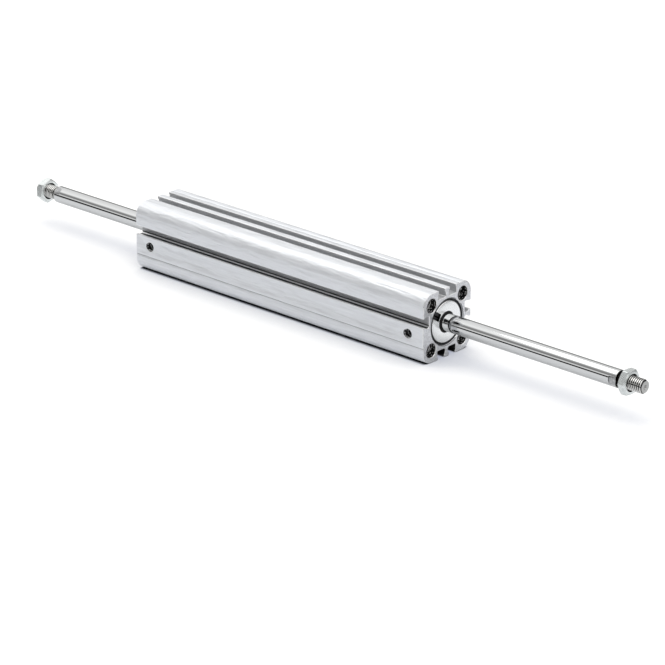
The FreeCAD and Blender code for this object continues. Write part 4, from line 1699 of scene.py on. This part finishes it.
@dataclass
class Wiper:
    """The moulded ring that wipes the rod, its lip standing a little out of the cap."""

    shop: Workshop
    side: Side
    inner: float = 5.03
    outer: float = 6.0
    depth: float = 2.5
    proud: float = 0.3  # how far the lip stands out of the barrel's end face

    def build(self) -> bpy.types.Object:
        """Build the wiper in place of its CAD node.

        Returns:
            The wiper.
        """
        middle = (self.inner + self.outer) / 2
        body = [(self.depth, self.inner + 0.1), (self.depth, self.outer), (0.35, self.outer)]
        lip = [(0.15, self.outer - 0.03), (-0.1, self.outer - 0.15), (0.05 - self.proud, middle + 0.15),
               (-self.proud, middle - 0.05), (0.03 - self.proud, middle - 0.25), (-0.15, self.inner)]
        hole = [(0.6, self.inner), (1.2, self.inner + 0.1)]
        name = f"{self.side.label}_wiper_ring"
        ring = lathe(name, [(END_FACE - deep, radius) for deep, radius in body + lip + hole], around=96)
        ring.data.materials.append(self.shop.finishes.wiper)
        settle(to_side(ring, self.side))
        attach(ring, Body.BARREL.value)
        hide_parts(f"{self.side.label}_rod_wiper")
        log.info("%s wiper: %d faces", self.side.label, len(ring.data.polygons))
        return ring


@dataclass
class InnerPieces:
    """The pieces whose CAD shape is right: they get their finishes."""

    shop: Workshop
    nodes: dict[str, bpy.types.Object]

    def build(self) -> None:
        """Give each CAD node that stays its finish."""
        finishes = self.shop.finishes
        chosen = {
            "cap_o_ring": finishes.seal, "rod_seal": finishes.seal, "rod_bush": finishes.bronze,
            "buffer": finishes.buffer, "piston_half": finishes.piston, "piston_seal": finishes.seal,
            "piston_o_ring": finishes.seal, "magnet_ring": finishes.magnet, "guide_ring": finishes.guide}
        for name, node in self.nodes.items():
            kind = name.removeprefix("right_").removeprefix("left_")
            if kind in chosen:
                node.data.materials[0] = chosen[kind]
        log.info("inner pieces: %d finishes", len(chosen))


# Studio


@dataclass
class Studio:
    """A white sweep with soft light, and the camera where the photographer stood."""

    azimuth: float = 41.705  # degrees
    elevation: float = 22.225
    distance: float = 1.95625  # m
    lens: float = 188.84  # mm
    pan: float = 0.018819  # m, sideways and up from the line to the cylinder's middle
    rise: float = -0.033335
    roll: float = 0.206  # degrees
    floor_radius: float = 14.0  # m
    # What the camera sees of the paper: a lit part that takes the shadow, and a bluer part that doesn't.
    lit: tuple[float, float, float, float] = (0.68, 0.64, 0.52, 1.0)
    fill: tuple[float, float, float, float] = (0.40, 0.44, 0.56, 1.0)
    contact: float = 2.6  # mm, how near a thing has to be to the paper for the dark line under it
    contact_open: tuple[float, float] = (0.32, 0.68)  # from how open it is dark, and white again
    beside: float = 36.0  # mm, how far the shade of a wall reaches over the paper
    beside_open: tuple[float, float] = (0.45, 0.82)
    beside_level: float = 0.78  # how bright the paper is right beside a wall
    shade_samples: int = 8
    paper_from: float = 0.25  # m, where the paper starts to darken in reflections
    paper_to: float = 0.50
    paper_near: str = "#e6e7e9"
    paper_far: str = "#262627"
    white_from: float = 0.9  # m, where the paper that the camera sees starts to turn plain white
    white_to: float = 1.8
    room_level: float = 1.25  # the brightest wall of the room, where white paper is 1
    # The room's grey from level in front, over the top, to level behind: (share of the half turn, level)
    room: tuple[tuple[float, float], ...] = (
        (0.0, 0.01), (0.062, 0.02), (0.082, 0.70), (0.14, 0.68), (0.165, 0.20), (0.28, 0.28), (0.34, 0.78),
        (0.40, 0.93), (0.50, 0.85), (0.68, 0.76), (0.80, 0.70), (0.88, 0.24), (1.0, 0.12))
    softbox_place: tuple[float, float, float] = (-0.3, 0.04, 1.5)  # m
    softbox_size: tuple[float, float] = (1.2, 1.3)  # m, along X and across
    softbox_level: float = 1.6  # how bright it looks, where white paper is 1

    def camera(self) -> None:
        """Place the camera."""
        around, above, tilt = (math.radians(v) for v in (self.azimuth, self.elevation, self.roll))
        level = math.cos(above)
        back = Vector((math.sin(around) * level, -math.cos(around) * level, math.sin(above)))
        flat_right = Vector((0, 0, 1)).cross(back).normalized()
        flat_up = back.cross(flat_right)
        right = flat_right * math.cos(tilt) + flat_up * math.sin(tilt)
        up = flat_up * math.cos(tilt) - flat_right * math.sin(tilt)
        data = bpy.data.cameras.new("product_camera")
        data.lens = self.lens
        data.sensor_width = 36.0
        data.sensor_fit = "HORIZONTAL"
        data.clip_start, data.clip_end = 0.05, 60.0
        made = bpy.data.objects.new("product_camera", data)
        place = back * self.distance + right * self.pan + up * self.rise + Vector((0, 0, AXIS_HEIGHT * MM))
        turn = Matrix((right, up, back)).transposed().to_4x4()
        made.matrix_world = Matrix.Translation(place) @ turn
        bpy.context.scene.collection.objects.link(made)
        bpy.context.scene.camera = made

    def floor(self) -> None:
        """A wide white floor that keeps the shadow and looks white to the camera."""
        shape = bmesh.new()
        bmesh.ops.create_circle(shape, cap_ends=True, segments=96, radius=self.floor_radius)
        made = new_object("studio_floor", mesh_from("studio_floor", shape))
        paper = bpy.data.materials.new("white_paper_sweep")
        paper.use_nodes = True
        tree = paper.node_tree
        tree.nodes.clear()
        where = add_node(tree, "ShaderNodeTexCoord")
        length = add_node(tree, "ShaderNodeVectorMath", {0: where.outputs["Object"]}, operation="LENGTH")
        away = length.outputs["Value"]
        # In reflections the paper's colour is darkened away from the cylinder: painted shade for the light
        # that falls off in a studio.
        gone = add_node(tree, "ShaderNodeMapRange",
                        {"Value": away, "From Min": self.paper_from, "From Max": self.paper_to})
        reached = add_node(tree, "ShaderNodeMix",
                           {"Factor": gone.outputs["Result"], "A": linear(self.paper_near),
                            "B": linear(self.paper_far)}, data_type="RGBA")
        matt = add_node(tree, "ShaderNodeBsdfDiffuse", {"Color": reached.outputs["Result"]})
        # What the camera sees: paper that takes the shadow, with painted shade from ambient occlusion: a
        # dark line where something touches it, and a softer shade beside walls.
        lit = add_node(tree, "ShaderNodeBsdfDiffuse", {"Color": self.lit})
        fill = add_node(tree, "ShaderNodeEmission", {"Color": self.fill, "Strength": 1.0})
        paper_seen = add_node(tree, "ShaderNodeAddShader", {0: lit.outputs[0], 1: fill.outputs[0]})
        shades = []
        for reach, (dark, bright), lowest in ((self.contact, self.contact_open, 0.0),
                                              (self.beside, self.beside_open, self.beside_level)):
            near = add_node(tree, "ShaderNodeAmbientOcclusion", {"Distance": reach * MM},
                            samples=self.shade_samples)
            shade = add_node(tree, "ShaderNodeMapRange",
                             {"Value": near.outputs["AO"], "From Min": dark, "From Max": bright,
                              "To Min": lowest, "To Max": 1.0})
            shades.append(shade.outputs["Result"])
        light = add_node(tree, "ShaderNodeMath", dict(enumerate(shades)), operation="MULTIPLY")
        black = add_node(tree, "ShaderNodeEmission", {"Color": BLACK, "Strength": 0.0})
        shaded = add_node(tree, "ShaderNodeMixShader",
                          {0: light.outputs[0], 1: black.outputs[0], 2: paper_seen.outputs[0]})
        # Far off the paper is plain white, so that low views end in white too.
        white = add_node(tree, "ShaderNodeEmission", {"Color": WHITE, "Strength": 1.0})
        far = add_node(tree, "ShaderNodeMapRange",
                       {"Value": away, "From Min": self.white_from, "From Max": self.white_to})
        swept = add_node(tree, "ShaderNodeMixShader",
                         {0: far.outputs["Result"], 1: shaded.outputs[0], 2: white.outputs[0]})
        seen = add_node(tree, "ShaderNodeLightPath").outputs["Is Camera Ray"]
        both = add_node(tree, "ShaderNodeMixShader", {0: seen, 1: matt.outputs[0], 2: swept.outputs[0]})
        add_node(tree, "ShaderNodeOutputMaterial", {"Surface": both.outputs[0]})
        made.data.materials.append(paper)

    def world(self) -> None:
        """The studio around: a grey room that gives the metal its bands, and white for the camera."""
        made = bpy.data.worlds.new("studio")
        bpy.context.scene.world = made
        made.use_nodes = True
        tree = made.node_tree
        tree.nodes.clear()
        way = add_node(tree, "ShaderNodeTexCoord")
        parts = add_node(tree, "ShaderNodeSeparateXYZ", {"Vector": way.outputs["Generated"]})
        forward = add_node(tree, "ShaderNodeMath", {0: parts.outputs["Y"], 1: -1.0}, operation="MULTIPLY")
        angle = add_node(tree, "ShaderNodeMath", {0: parts.outputs["Z"], 1: forward.outputs[0]},
                         operation="ARCTAN2")
        share = add_node(tree, "ShaderNodeMath", {0: angle.outputs[0], 1: math.pi}, operation="DIVIDE")
        ramp = add_node(tree, "ShaderNodeValToRGB", {"Fac": share.outputs[0]})
        band = ramp.color_ramp
        band.interpolation = "EASE"
        band.elements[0].position, band.elements[1].position = self.room[0][0], self.room[-1][0]
        for place, _ in self.room[1:-1]:
            band.elements.new(place)
        for element, (_, level) in zip(band.elements, self.room):
            element.color = (level, level, level, 1.0)
        room = add_node(tree, "ShaderNodeBackground",
                        {"Color": ramp.outputs["Color"], "Strength": self.room_level})
        white = add_node(tree, "ShaderNodeBackground", {"Color": WHITE, "Strength": 1.0})
        seen = add_node(tree, "ShaderNodeLightPath").outputs["Is Camera Ray"]
        both = add_node(tree, "ShaderNodeMixShader", {0: seen, 1: room.outputs[0], 2: white.outputs[0]})
        add_node(tree, "ShaderNodeOutputWorld", {"Surface": both.outputs[0]})

    def softbox(self) -> None:
        """A softbox that hangs over the cylinder and looks straight down."""
        length, width = self.softbox_size
        data = bpy.data.lights.new("overhead_softbox", "AREA")
        data.shape = "RECTANGLE"
        data.size, data.size_y = length, width
        data.energy = self.softbox_level * math.pi * length * width
        made = bpy.data.objects.new("overhead_softbox", data)
        made.location = self.softbox_place
        bpy.context.scene.collection.objects.link(made)

    def build(self) -> None:
        """Set up the whole studio."""
        self.camera()
        self.floor()
        self.world()
        self.softbox()
        bpy.context.scene.view_settings.view_transform = "Standard"
        log.info("studio: camera %.0f mm lens at %.2f m", self.lens, self.distance)


def main() -> None:
    """Load the frame, build every sub-assembly and set up the studio."""
    logging.basicConfig(level=logging.INFO, format="%(name)s: %(message)s")
    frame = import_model()
    shop = Workshop(Finishes(), SweepTree(), ThreadTree(), CornersTree())
    Studio().build()
    Barrel(shop).build()
    RodHalf(shop, Side.RIGHT, shoulder=226.5, inner_end=-1.0).build()
    RodHalf(shop, Side.LEFT, shoulder=192.5, flat_turn=-50.0, inner_end=-10.0).build()
    JamNut(shop, Side.RIGHT, start=229.5, turn=-3.0).build()
    JamNut(shop, Side.LEFT, start=200.6, turn=18.5).build()
    for side in Side:
        BearingCap(shop, side).build()
        Circlip(shop, side).build()
        Wiper(shop, side).build()
    InnerPieces(shop, frame["nodes"]).build()


if __name__ == "__main__":
    main()
